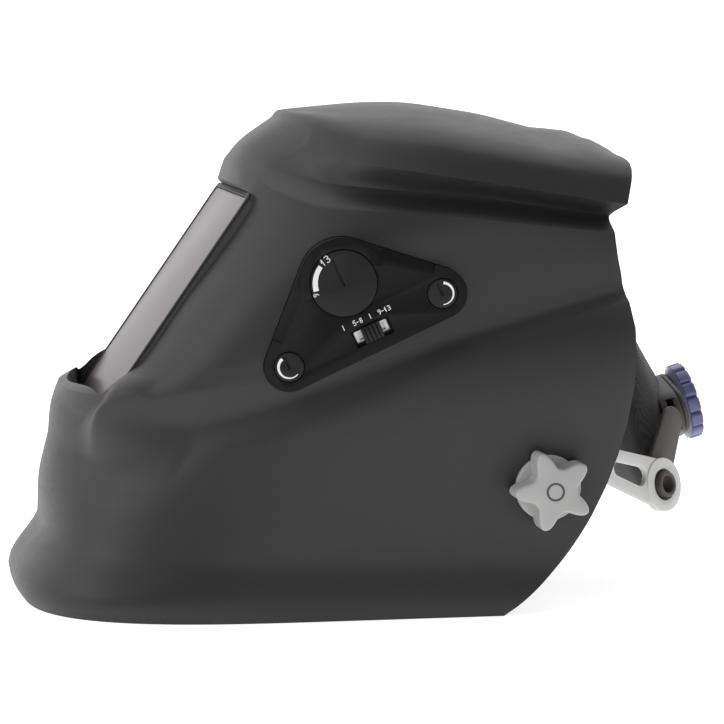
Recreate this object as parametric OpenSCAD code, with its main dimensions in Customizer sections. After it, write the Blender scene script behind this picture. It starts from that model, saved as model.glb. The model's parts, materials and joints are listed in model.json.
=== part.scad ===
/* [Shell] */
// Half width of the shell at the cheek ridge
shell_half_w = 114; // [106:1:125]
// Wall of the moulded shell
shell_wall = 3; // [2.4:0.1:4]
// Thickness added to the height of the crown, which carries the whole cap up or down
crown_lift = 0; // [-6:1:12]

/* [Lens] */
// Width of the cover lens
lens_w = 114; // [90:1:118]
// Height of the cover lens, along its slope
lens_h = 128; // [90:1:132]
// Thickness of the cover lens
lens_t = 2; // [1:0.5:3]
// Lean of the lens back from the vertical
lens_lean = 34.7; // [32:0.1:37]
// Width of the clear view through the filter
view_w = 100; // [80:1:102]
// Height of the clear view through the filter
view_h = 84; // [50:1:90]
// Thickness of the filter cartridge
cartridge_t = 10; // [9:0.5:14]

/* [Controls] */
// Turn of the control panel against the horizontal
panel_turn = 24; // [0:1:30]
// Radius of the shade dial
shade_r = 16; // [12:0.5:17]
// Radius of the two small dials
dial_r = 7; // [5:0.5:8]
// Travel of the mode slider each way from its middle place
slider_travel = 4.5; // [3:0.5:5]

/* [Pivots] */
// Radius of the pivot stud
stud_r = 4; // [3:0.25:5]
// Radius over the points of the tension knob
knob_r = 19.5; // [16:0.5:22]
// Height of the tension knob's grip
knob_h = 14; // [10:1:18]

/* [Headgear] */
// Half width of the head band
band_half_w = 82; // [76:1:84]
// Reach of the head band in front of the pivot
band_front = 92; // [84:1:98]
// Height of the head band
band_h = 26; // [18:1:30]
// Thickness of the straps
strap_t = 2; // [1.5:0.1:3]
// Radius of the size knob at the back of the head
ratchet_r = 20; // [16:0.5:22]
// Lean of the worn head gear against the resting shell
head_lean = 16; // [10:1:20]

/* [Hidden] */

fit = 0.2;          // gap round a piece that is pressed or laid in place
run = 0.4;          // gap between pieces that move
bore_gap = 0.08;    // radial gap of a shaft in its bore

// ---- Shell surface -------------------------------------------------------------------------------
// One row of the table is a line along the shell from the front middle to the rear edge:
// [front x, x where it is widest, half width, squareness, rear x, [[x, z], ...]]
w0 = shell_half_w;
up = crown_lift;
LEVELS = [
    [-176, -30, w0 - 1, 3.2, 50, [[-176, 0], [50, 0]]],
    [-180, -30, w0, 3.2, 57, [[-180, 6], [57, 5]]],
    [-166, -25, w0 - 4, 3.0, 78, [[-166, 36], [-120, 27], [78, 24]]],
    [-165.5, -10, w0 - 3, 2.5, 94, [[-165.5, 58], [-100, 50], [94, 48]]],
    [-161, 10, w0, 2.15, 111,
        [[-161, 80], [-150, 73], [-117, 74], [-72, 87], [-20, 106], [22, 124], [111, 152]]],
    [-159, 10, w0 - 4, 2.25, 110,
        [[-159, 96], [-148, 90], [-117, 88], [-72, 99], [-20, 117], [22, 133], [110, 157]]],
    [-155, 10, w0 - 4.5, 2.6, 109, [[-155, 105], [-117, 106], [-60, 116], [22, 141], [109, 161]]],
    [-134, 10, w0 - 4.5, 3.0, 108.5, [[-134, 113], [-100, 120], [-40, 132], [108.5, 165]]],
    [-107.5, 10, w0 - 5, 2.8, 107, [[-107.5, 150], [-60, 155], [107, 172]]],
    [-75, 30, w0 - 6, 2.8, 106, [[-75, 198], [-50, 184], [106, 179]]],
    [-68.5, 60, w0 - 7, 2.8, 105.5, [[-68.5, 218], [-60, 207], [-43, 198], [29, 193], [105.5, 184.5]]],
    [-62.5, 70, w0 - 21, 2.9, 106,
        [[-62.5, 226 + up], [-52, 213 + up], [-30, 208 + up], [40, 202 + up], [106, 192 + up]]],
    [-44, 112, w0 - 15, 2.7, 113,
        [[-44, 239 + up], [-38, 226 + up], [-30, 220 + up], [14, 214 + up], [77, 204 + up], [113, 198 + up]]],
    [-42.5, 114, w0 - 22, 2.5, 117,
        [[-42.5, 241 + up], [-20, 232 + up], [20, 228 + up], [80, 217 + up], [117, 211 + up]]],
    [-41.5, 114, w0 - 62, 2.5, 118,
        [[-41.5, 242 + up], [20, 242.5 + up], [80, 231 + up], [95, 227 + up], [107, 228 + up],
        [118, 220 + up]]],
    [-40.5, 114, 0, 2, 118.5,
        [[-40.5, 242.5 + up], [0, 246 + up], [22, 246 + up], [60, 240 + up], [95, 230.5 + up],
        [106, 233 + up], [118.5, 223 + up]]]
];
nl = len(LEVELS) - 1;
nv = 26;
v_side = 20;        // columns of the rounded front, the rest run straight to the rear edge

function mirrored(p) = [p.x, -p.y, p.z];
function level_xy(l, j) =
    let (a = 90 * min(j, v_side) / v_side, e = 2 / l[3], k = max(0, j - v_side) / (nv - v_side))
    [l[1] - (l[1] - l[0]) * pow(cos(a), e) + k * (l[4] - l[1]), -l[2] * pow(sin(a), e)];
function outer(i, j) =
    let (l = LEVELS[i], p = level_xy(l, j)) [p.x, p.y, lookup(p.x, l[5])];
// The inside follows the same lines, drawn in by the wall; only the crown comes down by it as well
crown_row = 12;
function drop(i) = shell_wall * max(0, min(1, (i - crown_row + 2) / 2));
function inner(i, j) =
    let (l = LEVELS[i], s = shell_wall, in = [l[0] + 1.2 * s, l[1], max(0, l[2] - s), l[3], l[4]],
        p = level_xy(in, j))
    [p.x, p.y, outer(i, j).z - drop(i)];

half_n = (nl + 1) * (nv + 1);
function corner(sheet, side, i, j) =
    (2 * sheet + ((j == 0 || i == nl) ? 0 : side)) * half_n + i * (nv + 1) + j;
function turned(quad, flip) = flip ? [quad[3], quad[2], quad[1], quad[0]] : quad;
function split(q) = [[q[0], q[1], q[2]], [q[0], q[2], q[3]]];

module shell_skin() {
    outside = [for (i = [0:nl], j = [0:nv]) outer(i, j)];
    inside = [for (i = [0:nl], j = [0:nv]) inner(i, j)];
    points = concat(outside, [for (p = outside) mirrored(p)], inside, [for (p = inside) mirrored(p)]);
    sheets = [for (sheet = [0, 1], side = [0, 1], i = [0:nl - 1], j = [0:nv - 1])
        turned([corner(sheet, side, i, j), corner(sheet, side, i, j + 1),
            corner(sheet, side, i + 1, j + 1), corner(sheet, side, i + 1, j)], sheet == side)];
    rim = [for (side = [0, 1], j = [0:nv - 1])
        turned([corner(0, side, 0, j), corner(0, side, 0, j + 1),
            corner(1, side, 0, j + 1), corner(1, side, 0, j)], side == 1)];
    rear = [for (side = [0, 1], i = [0:nl - 1])
        turned([corner(0, side, i, nv), corner(0, side, i + 1, nv),
            corner(1, side, i + 1, nv), corner(1, side, i, nv)], side == 1)];
    quads = concat(sheets, rim, rear);
    polyhedron(points, [for (q = quads, t = split(q)) if (t[0] != t[1] && t[1] != t[2] && t[0] != t[2]) t]);
}

// ---- Lens and cartridge, in a frame that leans with the lens: x inwards, z up the slope -----------
lens_x = -103.7;
lens_z = 148;
frame_wall = 2.8;
frame_w = lens_w + 2 * frame_wall;
frame_h = lens_h + 2 * frame_wall;
frame_depth = lens_t + cartridge_t + 6;
gasket_lip = 2;
gasket_x = -0.4;
cart_w = lens_w - 2 * fit;
cart_h = lens_h - 2 * fit;
cart_x = lens_t + 1.2;             // front face of the cartridge
half_t = cartridge_t / 2;
glass_t = 4;
view_z = 8;                        // the view sits a little above the middle
cell_r = 12.25;                    // coin cell
cell_t = 5;
tray_y = 34;
tray_w = 2 * cell_r + 4;
tray_t = cell_t + 1.8;
tray_x = cart_x + half_t - 1.9;
cell_z = -cart_h / 2 + cell_r + 1.2;

module in_lens() {
    translate([lens_x, 0, lens_z]) rotate([0, lens_lean, 0]) children();
}
// A plate across the line of sight, from depth x0 to x1, with round corners
module plate(x0, x1, w, h, r = 4, z = 0) {
    translate([x0, 0, z]) rotate([90, 0, 90]) linear_extrude(x1 - x0)
        for (part = [0, 1]) {
            square(part == 0 ? [w, h - 2 * r] : [w - 2 * r, h], center = true);
            for (sx = [-1, 1], sy = [-1, 1])
                translate([sx * (w / 2 - r), sy * (h / 2 - r)]) circle(r, $fn = 32);
        }
}

// ---- Control panel, in a frame on the left side: x along the panel, y up it, z outwards ------------
panel_x = -24;
panel_z = 148;
panel_out = 110.5;                  // distance of the panel's face from the middle plane
panel_yaw = 6;                      // the panel faces a little forwards, as the cheek does
panel_deep = 18;
shade_at = [2, 15];
delay_at = [43, -9];
sens_at = [-38, -11];
slider_at = [5, -12];
shade_corner = 21.5;
small_corner = 12;
face_t = 2.5;

module in_panel() {
    translate([panel_x, -panel_out, panel_z]) rotate([0, 0, -panel_yaw])
        rotate([90, -panel_turn, 0]) children();
}
module panel_outline(grow = 0) {
    hull() {
        translate(shade_at) circle(shade_corner + grow, $fn = 64);
        translate(delay_at) circle(small_corner + grow, $fn = 48);
        translate(sens_at) circle(small_corner + grow, $fn = 48);
    }
}

// ---- Pivots and head gear -------------------------------------------------------------------------
pivot = [70.8, 0, 62.7];
wall_out = shell_half_w - 1.5;      // outer face of the shell beside the pivot
wall_in = wall_out - shell_wall - 1.5;
seat_r = 16.5;
arm_in = band_half_w + 4.2;
arm_t = 5;
washer_t = wall_in - arm_in - arm_t - 2 * run;
ratchet_z = -2;
cradle_at = [68, 55, -29];
link_turn = 38;

module in_head() { translate(pivot) rotate([0, -head_lean, 0]) children(); }
// side -1 is the wearer's left
module on_pivot(side) {
    translate([pivot.x, 0, pivot.z]) rotate([side * -90, 0, 0]) children();
}
// Plan line of the band: a round front and nearly straight sides
function band_point(a, grow) =
    [-(band_front + grow) * pow(abs(cos(a)), 0.9), (band_half_w + grow) * sign(sin(a)) * pow(abs(sin(a)), 0.8)];
module band_plan(a0, a1, g0, g1, steps = 32) {
    polygon(concat(
        [for (k = [0:steps]) band_point(a0 + (a1 - a0) * k / steps, g0)],
        [for (k = [steps:-1:0]) band_point(a0 + (a1 - a0) * k / steps, g1)]));
}
// An arch over the head, drawn in the y-z plane and widened along x
module arch(x, w, half_w, rise, z, t) {
    steps = 36;
    function arc_at(k, g) = [(half_w + g) * cos(180 * k / steps), z + (rise + g) * sin(180 * k / steps)];
    translate([x - w / 2, 0, 0]) rotate([90, 0, 90]) linear_extrude(w)
        polygon(concat([for (k = [0:steps]) arc_at(k, 0)], [for (k = [steps:-1:0]) arc_at(k, t)]));
}

// ---- Sub-parts: shell and lens --------------------------------------------------------------------
// Floor of the recess between the chin and the foot of the lens
module sill() {
    reach = 17.5;
    half = frame_w / 2;
    in_lens() translate([0, 0, -frame_h / 2 - fit - sill_t]) linear_extrude(sill_t)
        polygon(concat([[sill_back, -half], [sill_back, half]],
            [for (k = [10:-1:-10]) [-1 - (reach - 1) * (1 - pow(abs(k) / 10, 2.2)), half * k / 10]]));
}
sill_t = 2.6;
sill_back = 5.4;

module shell() {
    color("#3c3b3c") difference() {
        union() {
            shell_skin();
            sill();
        }
        in_lens() translate([-40, -frame_w / 2 - fit, -frame_h / 2 - fit])
            cube([70, frame_w + 2 * fit, frame_h + 2 * fit]);
        in_panel() translate([0, 0, -panel_deep - 12]) linear_extrude(panel_deep + 40) panel_outline(fit);
        for (side = [-1, 1])
            on_pivot(side) translate([0, 0, shell_half_w - 24]) cylinder(r = stud_r + bore_gap, h = 40, $fn = 48);
    }
}

module lens_gasket() {
    color("#1d1c1d") in_lens() difference() {
        plate(gasket_x, 0.8, frame_w, frame_h);
        plate(-2, 2, lens_w - 2 * gasket_lip, lens_h - 2 * gasket_lip, 3);
    }
}

module outer_cover_lens() {
    color("#a8989c", 0.6) in_lens() plate(1, 1 + lens_t, lens_w, lens_h, 3);
}

module lens_frame() {
    color("#232223") in_lens() difference() {
        plate(1, frame_depth, frame_w, frame_h);
        plate(0, frame_depth + 1, lens_w + 2 * fit, lens_h + 2 * fit, 3);
        // the trays pass through the foot, and the latch turns in a notch at the head
        for (y = [-1, 1])
            translate([tray_x - run, y * tray_y - tray_w / 2 - run, -frame_h / 2 - 1])
                cube([tray_t + 2 * run, tray_w + 2 * run, 6]);
        translate([latch_x - run, -latch_half - 1, frame_h / 2 - 6]) cube([frame_depth, 2 * latch_half + 2, 5.2]);
    }
}

module cartridge_front() {
    color("#262526") in_lens() difference() {
        plate(cart_x, cart_x + half_t, cart_w, cart_h, 4);
        plate(cart_x - 1, cart_x + 1.5, view_w, view_h, 3, view_z);
        plate(cart_x + 1, cart_x + half_t + 1, view_w + 6 + 2 * fit, view_h + 4 + 2 * fit, 3, view_z);
        plate(cart_x - 1, cart_x + 1.5 + fit, 74 + 2 * fit, 9 + 2 * fit, 1, solar_z);
        for (y = [-1, 1], z = sensor_z)
            translate([cart_x - 1, y * sensor_y, z]) rotate([0, 90, 0]) cylinder(r = 3.5 + fit, h = 3.2, $fn = 32);
        tray_pockets();
    }
}
solar_z = view_z + view_h / 2 + 8;
sensor_y = 44;
sensor_z = [solar_z, view_z - view_h / 2 - 9];
module tray_pockets() {
    for (y = [-1, 1])
        translate([tray_x - fit, y * tray_y - tray_w / 2 - fit, -cart_h / 2 - 1])
            cube([tray_t + 2 * fit, tray_w + 2 * fit, 2 * cell_r + 4]);
}

module filter_glass() {
    color("#3f4a3c", 0.7) in_lens() plate(cart_x + 1.7, cart_x + 1.7 + glass_t, view_w + 6, view_h + 4, 3, view_z);
}

module solar_cell() {
    color("#1c1830") in_lens() plate(cart_x + 0.2, cart_x + 1.5, 74, 9, 1, solar_z);
}

module arc_sensors() {
    color("#120f12") in_lens() for (y = [-1, 1], z = sensor_z)
        translate([cart_x + 0.2, y * sensor_y, z]) rotate([0, 90, 0]) cylinder(r = 3.5, h = 1.8, $fn = 32);
}

module cartridge_back() {
    color("#262526") in_lens() difference() {
        plate(cart_x + half_t, cart_x + cartridge_t, cart_w, cart_h, 4);
        plate(cart_x + half_t - 1, cart_x + cartridge_t + 1, view_w, view_h, 3, view_z);
        plate(cart_x + half_t - 1, cart_x + 1.9 + glass_t, view_w + 6 + 2 * fit, view_h + 4 + 2 * fit, 3, view_z);
        plate(cart_x + cartridge_t - 1.2, cart_x + cartridge_t + 1, view_w + 4 + 2 * fit, view_h + 6 + 2 * fit, 3, view_z);
        tray_pockets();
    }
}

module inner_cover_lens() {
    color("#c8d0d0", 0.4) in_lens()
        plate(cart_x + cartridge_t - 1, cart_x + cartridge_t, view_w + 4, view_h + 6, 3, view_z);
}

retainer_x = cart_x + cartridge_t + fit;
cable_y = 54;                       // where the control lead enters the cartridge
cable_z = -20;
module cartridge_retainer() {
    color("#2b2a2b") in_lens() difference() {
        plate(retainer_x, retainer_x + 2.4, cart_w, cart_h, 4);
        translate([retainer_x - 1, -cable_y, cable_z]) rotate([0, 90, 0]) cylinder(r = 2.2, h = 5, $fn = 32);
        plate(retainer_x - 1, retainer_x + 4, view_w + 1, view_h + 1, 3, view_z);
        for (y = [-1, 1]) translate([retainer_x - 1, y * tray_y - tray_w / 2 - 1, -frame_h / 2 - 1])
            cube([5, tray_w + 2, 14]);
        translate([retainer_x - 1, 0, latch_z]) rotate([0, 90, 0])
            cylinder(r = 2 + bore_gap, h = 5, $fn = 32);
    }
}
latch_z = view_z + view_h / 2 + 8;
latch_half = lens_h / 2 + 1.3 - latch_z;
latch_x = retainer_x + 2.4 + run;
module retainer_latch() {
    color("#4a494a") in_lens() translate([0, 0, latch_z]) {
        translate([retainer_x, 0, 0]) rotate([0, 90, 0]) cylinder(r = 2, h = 3, $fn = 32);
        translate([latch_x, -2.5, -latch_half]) cube([2, 5, 2 * latch_half]);
    }
}

module battery_tray(side) {
    color("#1f1e1f") in_lens() translate([tray_x, side * tray_y, -cart_h / 2]) difference() {
        translate([0, -tray_w / 2, 0]) cube([tray_t, tray_w, 2 * cell_r + 1.8]);
        translate([0.8, 0, cell_r + 1.2]) rotate([0, 90, 0]) cylinder(r = cell_r + fit, h = tray_t, $fn = 64);
    }
}
module coin_cell(side) {
    color("#b9bbbd") in_lens() translate([tray_x + 0.8 + fit, side * tray_y, cell_z])
        rotate([0, 90, 0]) cylinder(r = cell_r, h = cell_t - 0.4, $fn = 64);
}

// ---- Sub-parts: control panel ---------------------------------------------------------------------
knob_proud = 2.2;
shade_well = 2.6;
module panel_base() {
    color("#232323") in_panel() difference() {
        translate([0, 0, -panel_deep]) linear_extrude(panel_deep - face_t) panel_outline();
        difference() {
            translate([0, 0, -panel_deep - 1]) linear_extrude(panel_deep - face_t - 1) panel_outline(-2.4);
            for (at = screw_places) translate([at.x, at.y, board_z + 1.6 + fit]) cylinder(r = 3, h = 20, $fn = 32);
        }
        for (at = screw_places) translate([at.x, at.y, -panel_deep - 1]) cylinder(r = 1.25, h = 12, $fn = 24);
        for (at = [shade_at, delay_at, sens_at]) translate([at.x, at.y, -6])
            cylinder(r = 3 + bore_gap, h = 6, $fn = 32);
        translate([slider_at.x - slider_travel - 4, slider_at.y - 3, -6]) cube([2 * slider_travel + 8, 6, 6]);
    }
}

module panel_cover() {
    color("#2a2a2a") in_panel() difference() {
        union() {
            translate([0, 0, -face_t]) linear_extrude(face_t) panel_outline();
            translate([shade_at.x, shade_at.y, -face_t]) difference() {
                cylinder(r = shade_corner - 0.6, h = face_t + 1.6, $fn = 64);
                translate([0, 0, -1]) cylinder(r = shade_r + run, h = face_t + 4, $fn = 64);
                rotate([0, 0, -90]) translate([0, -40, face_t]) cube([40, 80, 4]);
            }
        }
        translate([shade_at.x, shade_at.y, -shade_well]) cylinder(r = shade_r + run, h = 6, $fn = 64);
        for (at = [delay_at, sens_at]) translate([at.x, at.y, -face_t - 1])
            cylinder(r = dial_r + run, h = 6, $fn = 48);
        translate([slider_at.x - slider_travel - 5.2, slider_at.y - 4.4, -face_t - 1])
            cube([2 * slider_travel + 10.4, 8.8, 6]);
    }
}

module dial(at, r, h) {
    in_panel() translate([at.x, at.y, 0]) difference() {
        union() {
            translate([0, 0, -face_t + fit]) cylinder(r = r, h = face_t + h - fit, $fn = 64);
            translate([0, 0, -9]) cylinder(r = 3, h = 9, $fn = 32);
        }
        translate([-0.6, -r * 0.1, h - 0.8]) cube([1.2, r * 0.9, 2]);
    }
}
module shade_knob() { color("#303030") dial(shade_at, shade_r, 1.2); }
module delay_knob() { color("#303030") dial(delay_at, dial_r, 0.8); }
module sensitivity_knob() { color("#303030") dial(sens_at, dial_r, 0.8); }

module mode_slider() {
    color("#1b1b1b") in_panel() translate([slider_at.x, slider_at.y, 0]) difference() {
        union() {
            translate([-4.8, -4, -face_t + fit]) cube([9.6, 8, face_t + knob_proud]);
            translate([-2, -1.5, -8]) cube([4, 3, 7]);
        }
        for (x = [-3, -1, 1, 3]) translate([x - 0.3, -5, knob_proud - 0.4]) cube([0.6, 10, 1]);
    }
}

board_z = -panel_deep + 3;
module control_board() {
    color("#2e5a38") in_panel() difference() {
        translate([0, 0, board_z]) linear_extrude(1.6) panel_outline(-2.4 - fit);
        for (at = screw_places) translate([at.x, at.y, board_z - 1]) cylinder(r = 1.5, h = 4, $fn = 24);
    }
}
module dial_sockets() {
    color("#3a3f78") in_panel() for (at = [shade_at, delay_at, sens_at])
        translate([at.x, at.y, board_z + 1.6]) difference() {
            cylinder(r = 5.5, h = 8.6, $fn = 32);
            translate([0, 0, 4]) cylinder(r = 3 + bore_gap, h = 6, $fn = 32);
        }
}
module slide_switch() {
    color("#9a9c9e") in_panel() translate([slider_at.x, slider_at.y, board_z + 1.6]) difference() {
        translate([-9.5, -4, 0]) cube([19, 8, 7]);
        translate([-slider_travel - 2.4, -2, 4]) cube([2 * slider_travel + 4.8, 4, 4]);
    }
}
module panel_back_cover() {
    color("#232323") in_panel() difference() {
        translate([0, 0, -panel_deep - 2]) linear_extrude(2) panel_outline();
        for (at = screw_places) translate([at.x, at.y, -panel_deep - 3]) cylinder(r = 1.5, h = 5, $fn = 24);
        translate([-14, -12, -panel_deep - 3]) cylinder(r = 2.2, h = 5, $fn = 24);
    }
}
screw_places = [[24, 9], [-24, 6], [25, -14]];
module panel_screws() {
    color("#a9abad") in_panel() for (at = screw_places) translate([at.x, at.y, -panel_deep - 3.6]) {
        cylinder(r = 2.6, h = 1.6, $fn = 32);
        cylinder(r = 1.2, h = 12, $fn = 24);
    }
}

// The control lead runs inside the shell from the panel to the cartridge
cable_r = 1.6;
cable_route = [[-29.9, -91.5, 131.3], [-29.5, -87, 131.3], [-33, -81, 130.5], [-41, -76, 129],
    [-52, -71, 127], [-64, -66, 124], [-76, -61, 120.5], [-86, -57, 118], [-93, -55, 117.5],
    [-98, -54, 119.7], [-101, -54, 121.8], [-104.1, -54, 124]];
function tangent(k) =
    let (n = len(cable_route) - 1, d = cable_route[min(k + 1, n)] - cable_route[max(k - 1, 0)]) d / norm(d);
module control_cable() {
    sides = 8;
    n = len(cable_route);
    rings = [for (k = [0:n - 1])
        let (t = tangent(k), a = cross(t, [0, 0, 1]), u = a / norm(a), w = cross(u, t))
        for (s = [0:sides - 1]) cable_route[k] + cable_r * (cos(360 * s / sides) * u + sin(360 * s / sides) * w)];
    walls = [for (k = [0:n - 2], s = [0:sides - 1])
        [k * sides + s, k * sides + (s + 1) % sides, (k + 1) * sides + (s + 1) % sides, (k + 1) * sides + s]];
    ends = [[for (s = [sides - 1:-1:0]) s], [for (s = [0:sides - 1]) (n - 1) * sides + s]];
    color("#151515") polyhedron(rings, concat(walls, ends));
}

// ---- Sub-parts: pivots ----------------------------------------------------------------------------
knob_base_r = 16;
knob_base_z = wall_out + run + 0.6;
knob_top = knob_base_z + 4 + knob_h;
module stud(side) {
    color("#8c8e90") on_pivot(side) {
        translate([0, 0, arm_in + run]) cylinder(r = stud_r, h = knob_top - 5 - arm_in, $fn = 48);
        translate([0, 0, arm_in - 2]) cylinder(r = stud_r + 3, h = 2 + run, $fn = 6);
    }
}
module washer(side) {
    color("#2a2a2b") on_pivot(side) translate([0, 0, wall_in - run - washer_t]) difference() {
        cylinder(r = seat_r, h = washer_t, $fn = 64);
        translate([0, 0, -1]) cylinder(r = stud_r + bore_gap, h = washer_t + 2, $fn = 48);
        translate([0, 0, washer_t / 2]) difference() {
            cylinder(r = seat_r + 1, h = washer_t, $fn = 64);
            translate([0, 0, -1]) cylinder(r = seat_r - 4, h = washer_t + 2, $fn = 64);
        }
    }
}
// Five rounded points round a hub
module star(r_out, r_in) {
    for (k = [0:4]) rotate(72 * k + 39) hull() {
        circle(r_in * 0.72, $fn = 32);
        translate([r_out - 4.2, 0]) circle(4.2, $fn = 32);
    }
    circle(r_in, $fn = 64);
}
module tension_knob(side) {
    color("#a7a7a6") on_pivot(side) difference() {
        union() {
            translate([0, 0, knob_base_z]) cylinder(r = knob_base_r, h = 4, $fn = 64);
            translate([0, 0, knob_base_z + 4]) linear_extrude(knob_h) star(knob_r, 11);
        }
        translate([0, 0, knob_base_z - 1]) cylinder(r = stud_r + bore_gap, h = knob_h + 2, $fn = 48);
        translate([0, 0, knob_base_z - 1]) cylinder(r = 7.2, h = 5, $fn = 48);
        translate([0, 0, knob_top - 1]) difference() {
            cylinder(r = 4.6, h = 2, $fn = 48);
            translate([0, 0, -1]) cylinder(r = 3.4, h = 4, $fn = 48);
        }
    }
}
module knob_nut(side) {
    color("#8c8e90") on_pivot(side) translate([0, 0, knob_base_z + 0.2]) difference() {
        cylinder(r = 6.9, h = 3.4, $fn = 6);
        translate([0, 0, -1]) cylinder(r = stud_r + bore_gap, h = 6, $fn = 48);
    }
}
// The arm hangs on the stud and carries the slide that sets the distance to the face
slide_l = 34;
module tilt_arm(side) {
    color("#2b2b2c") in_head() rotate([side * -90, 0, 0]) translate([0, 0, arm_in]) difference() {
        union() {
            translate([0, 0, 2.4]) cylinder(r = 15, h = arm_t - 2.4, $fn = 64);
            translate([-slide_l / 2 - 4, -9, 0]) cube([slide_l + 8, 18, 2.4]);
            rotate([0, 0, side * -70]) translate([12, -3, 2.4]) cube([12, 6, arm_t - 2.4]);
        }
        translate([0, 0, -1]) cylinder(r = stud_r + bore_gap, h = arm_t + 2, $fn = 48);
        translate([0, 0, -1]) cylinder(r = stud_r + 3.6, h = 1.6, $fn = 48);
    }
}

// ---- Sub-parts: head gear -------------------------------------------------------------------------
band_z = -5;
module front_band() {
    color("#4a4a4c") in_head() translate([0, 0, band_z]) linear_extrude(band_h)
        band_plan(-86, 86, 0, strap_t);
}
pad_t = 5;
module sweat_band() {
    color("#2c2b2c") in_head() translate([0, 0, band_z - 2]) linear_extrude(band_h + 4)
        band_plan(-58, 58, -pad_t - 0.3, -0.3, 28);
}
// The side plate joins the bands and runs in the arm's slide
module side_plate(side) {
    color("#c3c2bf") in_head() translate([0, side * (band_half_w + strap_t + 0.15), 0])
        rotate([side * -90, 0, 0]) difference() {
            union() {
                translate([-36, -12, 0]) cube([72, 24, 1.6]);
                for (y = [-1, 1]) translate([-24, y * (10 + run) - 0.9, 0])
                    cube([48, 1.8, arm_in - band_half_w - strap_t + 1.6]);
            }
            translate([-16 - stud_r - 4, -stud_r - 3.4, -1]) cube([32 + 2 * stud_r + 8, 2 * stud_r + 6.8, 4]);
        }
}

crown_rise = 112;
crown_half_w = band_half_w - 4;
crown_x = [-14, 22];
module crown_strap_front() {
    color("#4a4a4c") in_head() arch(crown_x[0], 20, crown_half_w, crown_rise, -4, strap_t);
}
module crown_strap_rear() {
    color("#4a4a4c") in_head() arch(crown_x[1], 20, crown_half_w, crown_rise - 4, -4, strap_t);
}
// The front strap's pins reach the band, the rear strap's reach the side plates
module crown_pins() {
    pin_l = [1.15, band_half_w - crown_half_w + 0.05];
    color("#c3c2bf") in_head() for (k = [0, 1], side = [-1, 1])
        translate([crown_x[k], side * (crown_half_w + strap_t + 0.05), 2]) rotate([side * -90, 0, 0])
            cylinder(r = 2.2, h = pin_l[k], $fn = 24);
}

// Nape strap: a flat slotted bar from the side plate back to the ring that carries the cradle
nape_t = 2.6;
nape_end = [-36, -22];              // its front end, seen from the ring and in its plane
module in_ring(side) {
    in_head() mirror([0, side < 0 ? 1 : 0, 0]) translate(cradle_at) rotate([-90, 0, -link_turn]) children();
}
module bar(a, ra, b, rb) {
    hull() {
        translate(a) circle(ra, $fn = 64);
        translate(b) circle(rb, $fn = 48);
    }
}
module nape_strap(side) {
    color("#b9b8b5") in_ring(side) difference() {
        translate([0, 0, -nape_t / 2]) linear_extrude(nape_t) difference() {
            bar([0, 0], 12.5, nape_end, 9);
            bar(nape_end * 0.45, 5, nape_end * 0.85, 3.6);
        }
        cylinder(r = 8.1, h = 12, center = true, $fn = 64);
    }
    color("#b9b8b5") in_ring(side) difference() {
        cylinder(r = 13.5, h = nape_t + 1.6, center = true, $fn = 64);
        cylinder(r = 8.1, h = 12, center = true, $fn = 64);
    }
}
module nape_pins() {
    color("#8a8987") for (side = [-1, 1]) in_ring(side)
        translate([nape_end.x - 2, nape_end.y - 2, nape_t / 2]) cylinder(r = 2.2, h = 0.8, $fn = 24);
}
hub_r = 6.5;                        // the links' hubs have play in the rings
link_gap = 0.9;
link_t = 2.6;
link_end = [26.4, -26];               // its end at the housing, seen from the ring and in its plane
module cradle_link(side) {
    link_z = -nape_t / 2 - 0.8 - link_gap - link_t;
    color("#4d4744") in_ring(side) difference() {
        union() {
            translate([0, 0, link_z]) cylinder(r = hub_r, h = nape_t + 2 - link_z, $fn = 64);
            translate([0, 0, link_z]) linear_extrude(link_t) bar([0, 0], 10, link_end, 7.4);
        }
        cylinder(r = 4.4, h = 24, center = true, $fn = 48);
    }
}

pad_low = [34, -30];                // half width and height of the pad's lower and upper corners
pad_high = [24, 44];
module rear_pad() {
    color("#232224") in_head() hull() {
        for (side = [-1, 1], at = [pad_low, pad_high])
            translate([house_x - 19, side * at.x, at.y]) sphere(r = 5, $fn = 20);
        translate([house_x - 7.5, 0, ratchet_z]) sphere(r = 7.5, $fn = 20);
    }
}
house_w = 60;
house_h = 34;
house_x = 84.64;                    // back of the head to the front face of the housing
house_t = 10;
cover_t = 2.8;
knob_x = house_x + house_t + cover_t + 0.9;
knob_t = 9;
module ratchet_body(x0, x1, grow = 0) {
    translate([x0, 0, 0]) rotate([90, 0, 90]) linear_extrude(x1 - x0) hull() {
        for (y = [-1, 1]) translate([y * (house_w / 2 - 12), 0]) circle(12 + grow, $fn = 48);
        circle(house_h / 2 + grow, $fn = 64);
    }
}
module ratchet_housing() {
    color("#3a3837") in_head() translate([0, 0, ratchet_z]) difference() {
        ratchet_body(house_x, house_x + house_t);
        translate([house_x + 2, 0, 0]) rotate([0, 90, 0]) cylinder(r = 13.4, h = 20, $fn = 64);
        translate([house_x - 6, 0, 0]) rotate([0, 90, 0]) cylinder(r = 3 + bore_gap, h = 20, $fn = 32);
        translate([house_x + 3.4, -house_w, -8.4]) cube([3.4, 2 * house_w, 16.8]);
    }
}
module ratchet_cover() {
    color("#45423f") in_head() translate([0, 0, ratchet_z]) difference() {
        ratchet_body(house_x + house_t + 0.1, house_x + house_t + cover_t);
        translate([house_x, 0, 0]) rotate([0, 90, 0]) cylinder(r = 5 + bore_gap, h = 30, $fn = 48);
    }
}
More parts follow.
